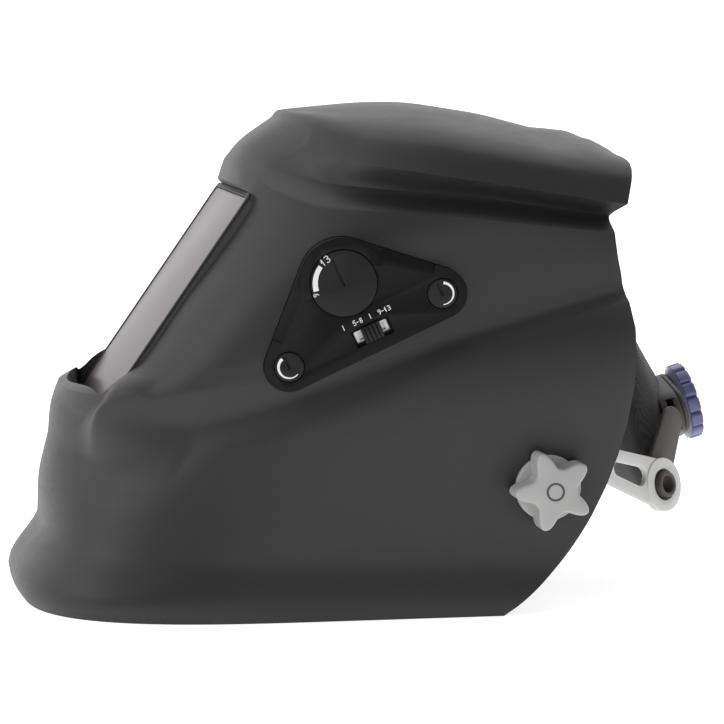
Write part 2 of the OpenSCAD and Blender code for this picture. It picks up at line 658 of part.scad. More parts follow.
module ratchet_pinion() {
    color("#d8d6d0") in_head() translate([0, 0, ratchet_z]) rotate([0, 90, 0]) {
        translate([0, 0, house_x + 0.4]) cylinder(r = 3, h = 3, $fn = 32);
        translate([0, 0, house_x + 2.6]) linear_extrude(5) {
            circle(4, $fn = 32);
            for (k = [0:9]) rotate(36 * k) translate([0, -0.8]) square([6, 1.6]);
        }
        translate([0, 0, house_x + 7.4]) cylinder(r = 5, h = knob_x + 1.9 - house_x - 7.4, $fn = 48);
    }
}
module ratchet_knob() {
    color("#5c5c9c") in_head() translate([0, 0, ratchet_z]) rotate([0, 90, 0]) difference() {
        union() {
            translate([0, 0, knob_x]) cylinder(r = ratchet_r - 1.5, h = 2.6, $fn = 64);
            translate([0, 0, knob_x + 2.4]) linear_extrude(knob_t - 2.4) difference() {
                circle(ratchet_r, $fn = 96);
                for (k = [0:11]) rotate(30 * k) translate([ratchet_r + 2.4, 0]) circle(3.6, $fn = 24);
            }
        }
        translate([0, 0, knob_x - 1]) cylinder(r = 5.05, h = 3, $fn = 48);
        translate([0, 0, knob_x + knob_t - 2]) cylinder(r = 12, h = 4, $fn = 64);
    }
}
module ratchet_rivets() {
    color("#7d7b78") in_head() for (y = [-1, 1])
        translate([house_x + house_t + cover_t, y * (house_w / 2 - 7), ratchet_z])
        rotate([0, 90, 0]) cylinder(r = 2.2, h = 0.7, $fn = 24);
}

shell();
lens_gasket();
outer_cover_lens();
lens_frame();
cartridge_front();
filter_glass();
solar_cell();
arc_sensors();
cartridge_back();
inner_cover_lens();
cartridge_retainer();
retainer_latch();
battery_tray(-1);  // battery_tray_left
battery_tray(1);  // battery_tray_right
coin_cell(-1);  // coin_cell_left
coin_cell(1);  // coin_cell_right
panel_base();
panel_cover();
shade_knob();
delay_knob();
sensitivity_knob();
mode_slider();
control_board();
dial_sockets();
slide_switch();
panel_back_cover();
panel_screws();
control_cable();
stud(-1);  // stud_left
stud(1);  // stud_right
washer(-1);  // washer_left
washer(1);  // washer_right
tension_knob(-1);  // tension_knob_left
tension_knob(1);  // tension_knob_right
knob_nut(-1);  // knob_nut_left
knob_nut(1);  // knob_nut_right
tilt_arm(-1);  // tilt_arm_left
tilt_arm(1);  // tilt_arm_right
front_band();
sweat_band();
side_plate(-1);  // side_plate_left
side_plate(1);  // side_plate_right
crown_strap_front();
crown_strap_rear();
crown_pins();
nape_strap(-1);  // nape_strap_left
nape_strap(1);  // nape_strap_right
nape_pins();
cradle_link(-1);  // cradle_link_left
cradle_link(1);  // cradle_link_right
rear_pad();
ratchet_housing();
ratchet_cover();
ratchet_pinion();
ratchet_knob();
ratchet_rivets();
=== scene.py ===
import json
import math

import bmesh
import bpy
from mathutils import Matrix, Vector


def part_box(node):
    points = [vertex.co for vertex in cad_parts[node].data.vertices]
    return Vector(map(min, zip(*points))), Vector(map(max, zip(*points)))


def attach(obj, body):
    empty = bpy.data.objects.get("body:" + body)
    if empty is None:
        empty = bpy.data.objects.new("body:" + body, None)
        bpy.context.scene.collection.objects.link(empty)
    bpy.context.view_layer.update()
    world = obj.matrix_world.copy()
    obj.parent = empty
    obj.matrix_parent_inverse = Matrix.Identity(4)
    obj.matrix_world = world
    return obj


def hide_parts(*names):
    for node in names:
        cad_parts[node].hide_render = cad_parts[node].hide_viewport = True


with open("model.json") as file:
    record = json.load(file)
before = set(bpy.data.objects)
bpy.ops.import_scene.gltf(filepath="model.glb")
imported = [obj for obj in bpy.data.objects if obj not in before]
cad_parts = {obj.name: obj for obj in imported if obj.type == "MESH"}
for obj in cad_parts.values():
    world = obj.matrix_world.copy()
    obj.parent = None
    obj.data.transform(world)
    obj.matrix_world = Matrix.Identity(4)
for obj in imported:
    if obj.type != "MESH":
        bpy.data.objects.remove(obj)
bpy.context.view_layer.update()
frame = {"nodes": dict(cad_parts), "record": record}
mm = 0.001


# Places and turns of the lens, panel, pivot and head gear, in millimetres and degrees
places = {
    "lens": (-103.7, 0.0, 148.0), "lensLean": 34.7,
    "panel": (-24.0, -110.5, 148.0), "panelTurn": 24.0, "panelYaw": 6.0,
    "pivot": (70.8, 0.0, 62.7), "headLean": 16.0,
}


def turnAbout(axis, degrees):
    return Matrix.Rotation(math.radians(degrees), 4, axis)


def shifted(point):
    return Matrix.Translation(Vector(point) * mm)


lensPlace = shifted(places["lens"]) @ turnAbout("Y", places["lensLean"])
panelPlace = (shifted(places["panel"]) @ turnAbout("Z", -places["panelYaw"])
              @ turnAbout("Y", -places["panelTurn"]) @ turnAbout("X", 90))
headPlace = shifted(places["pivot"]) @ turnAbout("Y", -places["headLean"])


def pivotPlace(side):
    return shifted(places["pivot"]) @ turnAbout("X", -90 * side)


def startGroup(name, inputs, outputs):
    group = bpy.data.node_groups.new(name, "ShaderNodeTree")
    for label, kind, default in inputs:
        socket = group.interface.new_socket(name=label, in_out="INPUT", socket_type=kind)
        socket.default_value = default
    for label, kind in outputs:
        group.interface.new_socket(name=label, in_out="OUTPUT", socket_type=kind)
    start = group.nodes.new("NodeGroupInput")
    end = group.nodes.new("NodeGroupOutput")
    return group, start, end


def addNode(tree, kind, **settings):
    node = tree.nodes.new(kind)
    for key, value in settings.items():
        if key in node.inputs:
            node.inputs[key].default_value = value
        else:
            setattr(node, key, value)
    return node


def mathNode(tree, operation, first, second=None):
    node = tree.nodes.new("ShaderNodeMath")
    node.operation = operation
    for index, value in enumerate((first, second)):
        if value is None:
            continue
        if hasattr(value, "is_output"):
            tree.links.new(value, node.inputs[index])
        else:
            node.inputs[index].default_value = value
    return node.outputs[0]


# Moulded plastic: a fine grain, slow cloudiness in the colour and wear where edges stick out
def buildMouldedGroup():
    group, start, end = startGroup(
        "mouldedSurface",
        [("Colour", "NodeSocketColor", (0.1, 0.1, 0.1, 1)),
         ("Worn Colour", "NodeSocketColor", (0.2, 0.2, 0.2, 1)),
         ("Roughness", "NodeSocketFloat", 0.5), ("Grain Scale", "NodeSocketFloat", 900.0),
         ("Cloud Scale", "NodeSocketFloat", 14.0), ("Cloudiness", "NodeSocketFloat", 0.12),
         ("Wear", "NodeSocketFloat", 0.3)],
        [("Colour", "NodeSocketColor"), ("Roughness", "NodeSocketFloat"), ("Height", "NodeSocketFloat")])
    link = group.links.new
    coords = addNode(group, "ShaderNodeTexCoord")
    grain = addNode(group, "ShaderNodeTexNoise", Detail=3.0, Roughness=0.6)
    link(coords.outputs["Object"], grain.inputs["Vector"])
    link(start.outputs["Grain Scale"], grain.inputs["Scale"])
    cloud = addNode(group, "ShaderNodeTexNoise", Detail=4.0, Roughness=0.55)
    link(coords.outputs["Object"], cloud.inputs["Vector"])
    link(start.outputs["Cloud Scale"], cloud.inputs["Scale"])
    scuffPlace = addNode(group, "ShaderNodeMapping", Scale=(1.0, 1.6, 3.4), Rotation=(0.4, 0.2, 0.5))
    link(coords.outputs["Object"], scuffPlace.inputs["Vector"])
    scuffs = addNode(group, "ShaderNodeTexNoise", Scale=70.0, Detail=5.0, Roughness=0.7)
    link(scuffPlace.outputs[0], scuffs.inputs["Vector"])
    edges = addNode(group, "ShaderNodeNewGeometry")
    edgeMask = addNode(group, "ShaderNodeMapRange", **{"From Min": 0.52, "From Max": 0.6})
    link(edges.outputs["Pointiness"], edgeMask.inputs["Value"])
    broken = mathNode(group, "MULTIPLY", edgeMask.outputs[0], scuffs.outputs["Fac"])
    wear = mathNode(group, "MULTIPLY", broken, start.outputs["Wear"])
    cloudShift = mathNode(group, "MULTIPLY", mathNode(group, "SUBTRACT", cloud.outputs["Fac"], 0.5),
                          start.outputs["Cloudiness"])
    brightness = addNode(group, "ShaderNodeHueSaturation")
    link(start.outputs["Colour"], brightness.inputs["Color"])
    link(mathNode(group, "ADD", cloudShift, 1.0), brightness.inputs["Value"])
    mix = addNode(group, "ShaderNodeMix", data_type="RGBA")
    link(wear, mix.inputs["Factor"])
    link(brightness.outputs[0], mix.inputs["A"])
    link(start.outputs["Worn Colour"], mix.inputs["B"])
    link(mix.outputs["Result"], end.inputs["Colour"])
    roughShift = mathNode(group, "MULTIPLY", mathNode(group, "SUBTRACT", scuffs.outputs["Fac"], 0.5), 0.16)
    link(mathNode(group, "ADD", start.outputs["Roughness"], roughShift), end.inputs["Roughness"])
    link(grain.outputs["Fac"], end.inputs["Height"])
    return group


# Knitted cloth: rows of small loops in two directions with a loose fuzz over them. In patches the raised loops
# take a lighter colour than the hollows between them: partly dust, partly painted sheen on the loop tops and
# painted shade in the hollows
def buildKnitGroup():
    group, start, end = startGroup(
        "knitSurface",
        [("Colour", "NodeSocketColor", (0.03, 0.03, 0.03, 1)),
         ("Light Colour", "NodeSocketColor", (0.1, 0.1, 0.1, 1)),
         ("Loop Scale", "NodeSocketFloat", 420.0)],
        [("Colour", "NodeSocketColor"), ("Roughness", "NodeSocketFloat"), ("Height", "NodeSocketFloat")])
    link = group.links.new
    coords = addNode(group, "ShaderNodeTexCoord")
    waves = []
    for direction in ("Y", "Z"):
        wave = addNode(group, "ShaderNodeTexWave", bands_direction=direction, Distortion=1.2, Detail=1.0)
        wave.inputs["Detail Scale"].default_value = 1.4
        link(coords.outputs["Object"], wave.inputs["Vector"])
        link(start.outputs["Loop Scale"], wave.inputs["Scale"])
        waves.append(wave.outputs["Fac"])
    loops = mathNode(group, "MULTIPLY", waves[0], waves[1])
    fuzz = addNode(group, "ShaderNodeTexNoise", Scale=1400.0, Detail=3.0)
    link(coords.outputs["Object"], fuzz.inputs["Vector"])
    # Patch noise: where it is high the loop tops are lightened, as dust together with painted sheen
    dustAndSheen = addNode(group, "ShaderNodeTexNoise", Scale=30.0, Detail=4.0)
    link(coords.outputs["Object"], dustAndSheen.inputs["Vector"])
    height = mathNode(group, "ADD", loops, mathNode(group, "MULTIPLY", fuzz.outputs["Fac"], 0.35))
    # The higher a loop or fuzz fibre stands, the lighter its colour: dust and painted sheen on the tops,
    # painted shade in the hollows
    mix = addNode(group, "ShaderNodeMix", data_type="RGBA")
    link(mathNode(group, "MULTIPLY", height, dustAndSheen.outputs["Fac"]), mix.inputs["Factor"])
    link(start.outputs["Colour"], mix.inputs["A"])
    link(start.outputs["Light Colour"], mix.inputs["B"])
    link(mix.outputs["Result"], end.inputs["Colour"])
    roughShift = mathNode(group, "MULTIPLY", fuzz.outputs["Fac"], 0.2)
    link(mathNode(group, "ADD", 0.78, roughShift), end.inputs["Roughness"])
    link(height, end.inputs["Height"])
    return group


mouldedGroup = buildMouldedGroup()
knitGroup = buildKnitGroup()


def startMaterial(name):
    material = bpy.data.materials.new(name)
    material.use_nodes = True
    tree = material.node_tree
    shader = tree.nodes["Principled BSDF"]
    return material, tree, shader


def mouldedMaterial(name, colour, roughness=0.5, grain=900.0, bump=0.12, wear=0.3, cloudiness=0.12,
                    worn=None, metallic=0.0, coat=0.0, depth=0.0002, **sockets):
    material, tree, shader = startMaterial(name)
    body = tree.nodes.new("ShaderNodeGroup")
    body.node_tree = mouldedGroup
    body.inputs["Colour"].default_value = (*colour, 1)
    body.inputs["Worn Colour"].default_value = (*(worn or [min(1, c * 2.2 + 0.03) for c in colour]), 1)
    body.inputs["Roughness"].default_value = roughness
    body.inputs["Grain Scale"].default_value = grain
    body.inputs["Wear"].default_value = wear
    body.inputs["Cloudiness"].default_value = cloudiness
    relief = addNode(tree, "ShaderNodeBump", Strength=bump, Distance=depth)
    tree.links.new(body.outputs["Height"], relief.inputs["Height"])
    tree.links.new(body.outputs["Colour"], shader.inputs["Base Color"])
    tree.links.new(body.outputs["Roughness"], shader.inputs["Roughness"])
    tree.links.new(relief.outputs[0], shader.inputs["Normal"])
    shader.inputs["Metallic"].default_value = metallic
    shader.inputs["Coat Weight"].default_value = coat
    for label, value in sockets.items():
        shader.inputs[label].default_value = value
    return material


def knitMaterial(name, colour, light, loops=420.0):
    material, tree, shader = startMaterial(name)
    body = tree.nodes.new("ShaderNodeGroup")
    body.node_tree = knitGroup
    body.inputs["Colour"].default_value = (*colour, 1)
    body.inputs["Light Colour"].default_value = (*light, 1)
    body.inputs["Loop Scale"].default_value = loops
    relief = addNode(tree, "ShaderNodeBump", Strength=0.6, Distance=0.0006)
    tree.links.new(body.outputs["Height"], relief.inputs["Height"])
    tree.links.new(body.outputs["Colour"], shader.inputs["Base Color"])
    tree.links.new(body.outputs["Roughness"], shader.inputs["Roughness"])
    tree.links.new(relief.outputs[0], shader.inputs["Normal"])
    shader.inputs["Sheen Weight"].default_value = 0.25
    return material


# Smoked polycarbonate plate: pinkish grey with a little random haze, faint wipe marks in the gloss; its
# brightening towards its top is a painted reflection of the overhead light
def lensMaterial(name, low, high, alpha, roughness):
    material, tree, shader = startMaterial(name)
    link = tree.links.new
    coords = addNode(tree, "ShaderNodeTexCoord")
    split = addNode(tree, "ShaderNodeSeparateXYZ")
    link(coords.outputs["Object"], split.inputs[0])
    # Painted reflection: the colour runs from the low to the high colour with height over the plate, brighter
    # at the top as if lit from above
    paintedTopLight = addNode(tree, "ShaderNodeMapRange", **{"From Min": 0.09, "From Max": 0.2})
    link(split.outputs["Z"], paintedTopLight.inputs["Value"])
    haze = addNode(tree, "ShaderNodeTexNoise", Scale=22.0, Detail=3.0)
    link(coords.outputs["Object"], haze.inputs["Vector"])
    # Mix factor: the painted top light plus random haze
    shade = mathNode(tree, "ADD", paintedTopLight.outputs[0],
                     mathNode(tree, "MULTIPLY", mathNode(tree, "SUBTRACT", haze.outputs["Fac"], 0.5), 0.25))
    mix = addNode(tree, "ShaderNodeMix", data_type="RGBA")
    link(shade, mix.inputs["Factor"])
    mix.inputs["A"].default_value = (*low, 1)
    mix.inputs["B"].default_value = (*high, 1)
    link(mix.outputs["Result"], shader.inputs["Base Color"])
    wipePlace = addNode(tree, "ShaderNodeMapping", Scale=(30.0, 900.0, 60.0))
    link(coords.outputs["Object"], wipePlace.inputs["Vector"])
    wipes = addNode(tree, "ShaderNodeTexNoise", Scale=1.0, Detail=4.0)
    link(wipePlace.outputs[0], wipes.inputs["Vector"])
    link(mathNode(tree, "ADD", roughness, mathNode(tree, "MULTIPLY", wipes.outputs["Fac"], 0.06)),
         shader.inputs["Roughness"])
    shader.inputs["Alpha"].default_value = alpha
    shader.inputs["Coat Weight"].default_value = 0.03
    shader.inputs["Coat Roughness"].default_value = 0.05
    shader.inputs["Specular IOR Level"].default_value = 0.12
    return material


# Solar strip: dark cells with thin silver fingers
def solarMaterial(name):
    material, tree, shader = startMaterial(name)
    link = tree.links.new
    coords = addNode(tree, "ShaderNodeTexCoord")
    bars = addNode(tree, "ShaderNodeTexWave", bands_direction="Y", Scale=60.0)
    link(coords.outputs["Object"], bars.inputs["Vector"])
    finger = mathNode(tree, "GREATER_THAN", bars.outputs["Fac"], 0.96)
    mix = addNode(tree, "ShaderNodeMix", data_type="RGBA")
    link(finger, mix.inputs["Factor"])
    mix.inputs["A"].default_value = (0.02, 0.012, 0.05, 1)
    mix.inputs["B"].default_value = (0.4, 0.4, 0.42, 1)
    link(mix.outputs["Result"], shader.inputs["Base Color"])
    shader.inputs["Roughness"].default_value = 0.25
    shader.inputs["Coat Weight"].default_value = 0.8
    return material


looks = {
    "shell": mouldedMaterial("shellPlastic", (0.0125, 0.0115, 0.0118), roughness=0.5, grain=1100.0, bump=0.16,
                             wear=0.25, cloudiness=0.1),
    "panel": mouldedMaterial("panelPlastic", (0.004, 0.004, 0.0042), roughness=0.5, grain=1500.0, bump=0.2,
                             wear=0.25, **{"Specular IOR Level": 0.14}),
    "panelSide": mouldedMaterial("panelHousing", (0.003, 0.003, 0.003), roughness=0.5, grain=1500.0,
                                 bump=0.15, wear=0.25, **{"Specular IOR Level": 0.12}),
    "dial": mouldedMaterial("dialPlastic", (0.008, 0.008, 0.0084), roughness=0.45, grain=1500.0, bump=0.12,
                            wear=0.3, **{"Specular IOR Level": 0.22}),
    "ink": mouldedMaterial("dialInk", (0.78, 0.78, 0.76), roughness=0.6, wear=0.0, cloudiness=0.25,
                           bump=0.05),
    "gasket": mouldedMaterial("gasketRubber", (0.012, 0.011, 0.012), roughness=0.65, grain=700.0, bump=0.2,
                              wear=0.2),
    # Bottom and top colours of each plate; the lighter top colour is a painted reflection of the top light
    "lens": lensMaterial("smokedLens", (0.115, 0.097, 0.104), (0.14, 0.12, 0.128), 0.95, 0.3),
    "innerLens": lensMaterial("clearLens", (0.6, 0.62, 0.62), (0.7, 0.72, 0.72), 0.25, 0.05),
    "filter": lensMaterial("filterGlass", (0.03, 0.045, 0.02), (0.05, 0.06, 0.03), 0.92, 0.04),
    "frame": mouldedMaterial("framePlastic", (0.02, 0.02, 0.02), roughness=0.5, wear=0.3),
    "cartridge": mouldedMaterial("cartridgePlastic", (0.025, 0.024, 0.025), roughness=0.55, grain=800.0,
                                 bump=0.25),
    "solar": solarMaterial("solarStrip"),
    "sensor": mouldedMaterial("sensorWindow", (0.03, 0.008, 0.02), roughness=0.15, bump=0.02, wear=0.0,
                              coat=0.8),
    "nylon": mouldedMaterial("blackNylon", (0.028, 0.028, 0.029), roughness=0.45, wear=0.4),
    "steel": mouldedMaterial("platedSteel", (0.55, 0.55, 0.56), roughness=0.32, grain=500.0, bump=0.08,
                             wear=0.2, metallic=1.0, worn=(0.35, 0.33, 0.3)),
    "cell": mouldedMaterial("cellSteel", (0.66, 0.66, 0.67), roughness=0.26, grain=350.0, bump=0.06, wear=0.1,
                            metallic=1.0, worn=(0.4, 0.38, 0.36)),
    "board": mouldedMaterial("boardMask", (0.02, 0.1, 0.04), roughness=0.3, grain=260.0, bump=0.3, wear=0.1),
    "socket": mouldedMaterial("socketPlastic", (0.04, 0.06, 0.22), roughness=0.4),
    "cable": mouldedMaterial("cableJacket", (0.014, 0.014, 0.014), roughness=0.55, grain=500.0, bump=0.2),
    "knob": mouldedMaterial("greyKnob", (0.39, 0.39, 0.388), roughness=0.42, grain=600.0, bump=0.1, wear=0.35,
                            cloudiness=0.25, worn=(0.6, 0.6, 0.58),
                            **{"Subsurface Weight": 0.25, "Subsurface Scale": 0.004}),
    "ringInk": mouldedMaterial("knobRing", (0.06, 0.06, 0.06), roughness=0.5, wear=0.0),
    "band": mouldedMaterial("bandPlastic", (0.055, 0.055, 0.058), roughness=0.45, wear=0.35),
    "strap": mouldedMaterial("strapPlastic", (0.62, 0.62, 0.612), roughness=0.4, grain=500.0, bump=0.08,
                             wear=0.3, cloudiness=0.2, worn=(0.7, 0.7, 0.68),
                             **{"Subsurface Weight": 0.15, "Subsurface Scale": 0.003}),
    "pin": mouldedMaterial("pinPlastic", (0.3, 0.295, 0.285), roughness=0.4),
    "link": mouldedMaterial("linkPlastic", (0.06, 0.052, 0.048), roughness=0.5, wear=0.45),
    "housing": mouldedMaterial("housingPlastic", (0.04, 0.037, 0.035), roughness=0.48, wear=0.45),
    "pinion": mouldedMaterial("acetal", (0.62, 0.6, 0.55), roughness=0.35),
    "blue": mouldedMaterial("blueKnob", (0.085, 0.088, 0.21), roughness=0.3, grain=500.0, bump=0.08, wear=0.5,
                            worn=(0.28, 0.3, 0.6), coat=0.25),
    "paleBlue": mouldedMaterial("paleFlange", (0.25, 0.26, 0.40), roughness=0.35, wear=0.3),
    # Cloth colour, then the lighter loop-top colour, which is dust and painted sheen together
    "padCloth": knitMaterial("padCloth", (0.016, 0.016, 0.018), (0.075, 0.075, 0.08), 380.0),
    "sweatCloth": knitMaterial("sweatCloth", (0.02, 0.02, 0.021), (0.09, 0.09, 0.092), 520.0),
}
print("materials done")


def finishPiece(name, bm, look, body, stands=(), smooth=50):
    mesh = bpy.data.meshes.new(name)
    bm.normal_update()
    bm.to_mesh(mesh)
    bm.free()
    piece = bpy.data.objects.new(name, mesh)
    bpy.context.scene.collection.objects.link(piece)
    mesh.materials.append(looks[look])
    if smooth:
        mesh.shade_smooth()
        mesh.set_sharp_from_angle(angle=math.radians(smooth))
    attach(piece, body)
    if stands:
        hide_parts(*stands)
    return piece


def applyModifiers(piece):
    bpy.context.view_layer.update()
    graph = bpy.context.evaluated_depsgraph_get()
    mesh = bpy.data.meshes.new_from_object(piece.evaluated_get(graph), depsgraph=graph)
    old = piece.data
    piece.modifiers.clear()
    piece.data = mesh
    bpy.data.meshes.remove(old)


def addBevel(piece, width, segments=2, angle=32):
    bevel = piece.modifiers.new("edges", "BEVEL")
    bevel.width = width * mm
    bevel.segments = segments
    bevel.limit_method = "ANGLE"
    bevel.angle_limit = math.radians(angle)


def bodyOf(node):
    for body, members in frame["record"]["behaviour"]["bodies"].items():
        if node in members:
            return body


# A part whose form is settled gets its moulded edge radius on a merged copy of its own mesh
def rounded(node, look, width, segments=2, angle=32):
    bm = bmesh.new()
    bm.from_mesh(frame["nodes"][node].data)
    bmesh.ops.remove_doubles(bm, verts=bm.verts, dist=0.002 * mm)
    bmesh.ops.dissolve_limit(bm, angle_limit=math.radians(1.5), verts=bm.verts, edges=bm.edges)
    piece = finishPiece(node + "_moulded", bm, look, bodyOf(node), [node], smooth=0)
    addBevel(piece, width, segments, angle)
    applyModifiers(piece)
    piece.data.shade_smooth()
    piece.data.set_sharp_from_angle(angle=math.radians(40))
    piece.data.materials.clear()
    piece.data.materials.append(looks[look])
    return piece


def dress(node, look):
    piece = frame["nodes"][node]
    piece.data.materials.clear()
    piece.data.materials.append(looks[look])


# Lines along the shell from the front middle to the rear edge, bottom to top: front x, widest x,
# half width, squareness, rear x, crispness of the crease along it, and its height against x
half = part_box("shell")[1][1] / mm
shell = {
    "wall": 3.0, "columns": 116, "rowsBetween": 7, "sideAt": 0.77,
    "rows": [
        (-176, -30, half - 1, 3.2, 50, 0.0, ((-176, 0), (50, 0))),
        (-180, -30, half, 3.2, 57, 0.0, ((-180, 6), (57, 5))),
        (-166, -25, half - 4.5, 3.0, 78, 0.75, ((-166, 36), (-120, 27), (78, 24))),
        (-165.5, -10, half - 3, 2.5, 94, 0.0, ((-165.5, 58), (-100, 50), (94, 48))),
        (-161, 10, half, 2.15, 111, 1.0,
         ((-161, 80), (-150, 73), (-117, 74), (-72, 87), (-20, 106), (22, 124), (111, 152))),
        (-159, 10, half - 6, 2.25, 110, 0.0,
         ((-159, 96), (-148, 90), (-117, 88), (-72, 99), (-20, 117), (22, 133), (110, 157))),
        (-155, 10, half - 6.5, 2.6, 109, 0.7, ((-155, 105), (-117, 106), (-60, 116), (22, 141), (109, 161))),
        (-134, 10, half - 6.5, 3.0, 108.5, 0.5, ((-134, 113), (-100, 120), (-40, 132), (108.5, 165))),
        (-107.5, 10, half - 6.5, 2.8, 107, 0.0, ((-107.5, 150), (-60, 155), (107, 172))),
        (-75, 30, half - 7, 2.8, 106, 0.0, ((-75, 198), (-50, 184), (106, 179))),
        (-68.5, 60, half - 8, 2.8, 105.5, 0.9,
         ((-68.5, 218), (-60, 207), (-43, 198), (29, 193), (105.5, 184.5))),
        (-62.5, 70, half - 21, 2.7, 106, 0.3, ((-62.5, 226), (-52, 213), (-30, 208), (40, 202), (106, 192))),
        (-44, 62, half - 12.5, 3.0, 113, 1.0,
         ((-44, 239), (-38, 226), (-30, 220), (14, 214), (77, 204), (113, 198))),
        (-42.5, 80, half - 20, 2.7, 117, 0.0, ((-42.5, 241), (-20, 232), (20, 228), (80, 217), (117, 211))),
        (-41.5, 100, half - 62, 2.5, 118, 0.0,
         ((-41.5, 242), (20, 242.5), (80, 231), (95, 227), (107, 228), (118, 220))),
        (-40.5, 114, 0, 2, 118.5, 0.0,
         ((-40.5, 242.5), (0, 246), (22, 246), (60, 240), (95, 230.5), (106, 233), (118.5, 223))),
    ],
    "frameW": 119.6, "frameH": 133.6, "gap": 0.2,
    "creaseFadeFrom": 0.62, "fadingRows": 8,
}


def heightAt(table, x):
    for (x0, z0), (x1, z1) in zip(table, table[1:]):
        if x <= x1:
            k = max(0.0, (x - x0) / (x1 - x0))
            return z0 + (z1 - z0) * k
    return table[-1][1]


def smoothHeight(table, x):
    reach = 7.0
    total = sum(heightAt(table, x + reach * k) for k in (-1.0, -0.5, 0.0, 0.5, 1.0)) / 5
    edge = min(1.0, (x - table[0][0]) / reach)
    return total * edge + heightAt(table, x) * (1 - edge)


def rowPoint(row, v):
    front, wide, halfWidth, square, rear, crisp, table = row
    quarter = min(v / shell["sideAt"], 1.0) * math.pi / 2
    straight = max(0.0, (v - shell["sideAt"]) / (1 - shell["sideAt"]))
    power = 2.0 / square
    x = wide - (wide - front) * math.cos(quarter) ** power if quarter < math.pi / 2 - 1e-6 else wide
    x += straight * (rear - wide)
    return Vector((x, -halfWidth * math.sin(quarter) ** power, smoothHeight(table, x)))


def mirroredPoint(point):
    return Vector((point.x, -point.y, point.z))


# One column of the shell: a smooth curve through the rows, broken where a row is a crease
def columnPoints(v):
    rows = shell["rows"]
    knots = [rowPoint(row, v) for row in rows]
    count = len(knots)
    chain = [knots[0] * 2 - knots[1]] + knots + [mirroredPoint(knots[-2])]
    gaps = [max((b - a).length, 0.05) for a, b in zip(chain, chain[1:])]
    fade = max(0.0, 1 - max(0.0, v - shell["creaseFadeFrom"]) / (1 - shell["creaseFadeFrom"]))
    into, out = [], []
    for k in range(count):
        before = (chain[k + 1] - chain[k]) / gaps[k]
        after = (chain[k + 2] - chain[k + 1]) / gaps[k + 1]
        blend = (before * gaps[k + 1] + after * gaps[k]) / (gaps[k] + gaps[k + 1])
        crisp = rows[k][5] * (fade if k < shell["fadingRows"] else 1.0)
        into.append(blend.lerp(before, crisp))
        out.append(blend.lerp(after, crisp))
    points = []
    steps = shell["rowsBetween"]
    for k in range(count - 1):
        span = gaps[k + 1]
        for step in range(steps):
            t = step / steps
            h0 = 2 * t ** 3 - 3 * t ** 2 + 1
            h1 = t ** 3 - 2 * t ** 2 + t
            h2 = -2 * t ** 3 + 3 * t ** 2
            h3 = t ** 3 - t ** 2
            points.append(knots[k] * h0 + out[k] * span * h1 + knots[k + 1] * h2 + into[k + 1] * span * h3)
    points.append(knots[-1])
    return points


def slabFrom(points, low, high, place):
    bm = bmesh.new()
    ring = [bm.verts.new((x * mm, y * mm, low * mm)) for x, y in points]
    face = bm.faces.new(ring)
    grown = bmesh.ops.extrude_face_region(bm, geom=[face])
    lifted = [g for g in grown["geom"] if isinstance(g, bmesh.types.BMVert)]
    bmesh.ops.translate(bm, verts=lifted, vec=(0, 0, (high - low) * mm))
    bmesh.ops.transform(bm, matrix=place, verts=bm.verts)
    bmesh.ops.recalc_face_normals(bm, faces=bm.faces)
    return bm


def cutter(name, bm):
    mesh = bpy.data.meshes.new(name)
    bm.to_mesh(mesh)
    bm.free()
    tool = bpy.data.objects.new(name, mesh)
    bpy.context.scene.collection.objects.link(tool)
    return tool


def roundedBox(width, height, radius, low, high, place, segments=8):
    bm = bmesh.new()
    corners = [bm.verts.new((x * width / 2 * mm, y * height / 2 * mm, low * mm))
               for x, y in ((-1, -1), (1, -1), (1, 1), (-1, 1))]
    bm.faces.new(corners)
    bmesh.ops.bevel(bm, geom=bm.verts[:], offset=radius * mm, affect="VERTICES", segments=segments,
                    profile=0.5, material=-1)
    grown = bmesh.ops.extrude_face_region(bm, geom=bm.faces[:])
    lifted = [g for g in grown["geom"] if isinstance(g, bmesh.types.BMVert)]
    bmesh.ops.translate(bm, verts=lifted, vec=(0, 0, (high - low) * mm))
    bmesh.ops.transform(bm, matrix=place, verts=bm.verts)
    bmesh.ops.recalc_face_normals(bm, faces=bm.faces)
    return bm


acrossLens = lensPlace @ turnAbout("Z", 90) @ turnAbout("X", 90)  # x across, y up the slope, z inwards


def panelOutline(grow, steps=24):
    spots = ((2, 15, 21.5), (-38, -11, 12.0), (43, -9, 12.0))
    points = []
    for k, (x, y, r) in enumerate(spots):
        before, after = spots[k - 1], spots[(k + 1) % 3]
        turns = []
        for one, two in ((before, spots[k]), (spots[k], after)):
            run = Vector((two[0] - one[0], two[1] - one[1]))
            lean = math.asin((one[2] - two[2]) / run.length)
            turns.append(math.atan2(run.y, run.x) - math.pi / 2 + lean)
        while turns[1] < turns[0]:
            turns[1] += 2 * math.pi
        for step in range(steps + 1):
            a = turns[0] + (turns[1] - turns[0]) * step / steps
            points.append((x + (r + grow) * math.cos(a), y + (r + grow) * math.sin(a)))
    return points


# The skin swells beside the foot of the lens, so the chin runs up round both its corners
cheekRise = {"y": 60.0, "z": -59.0, "wide": 34.0, "high": 30.0, "proud": -4.0, "most": 13.0}


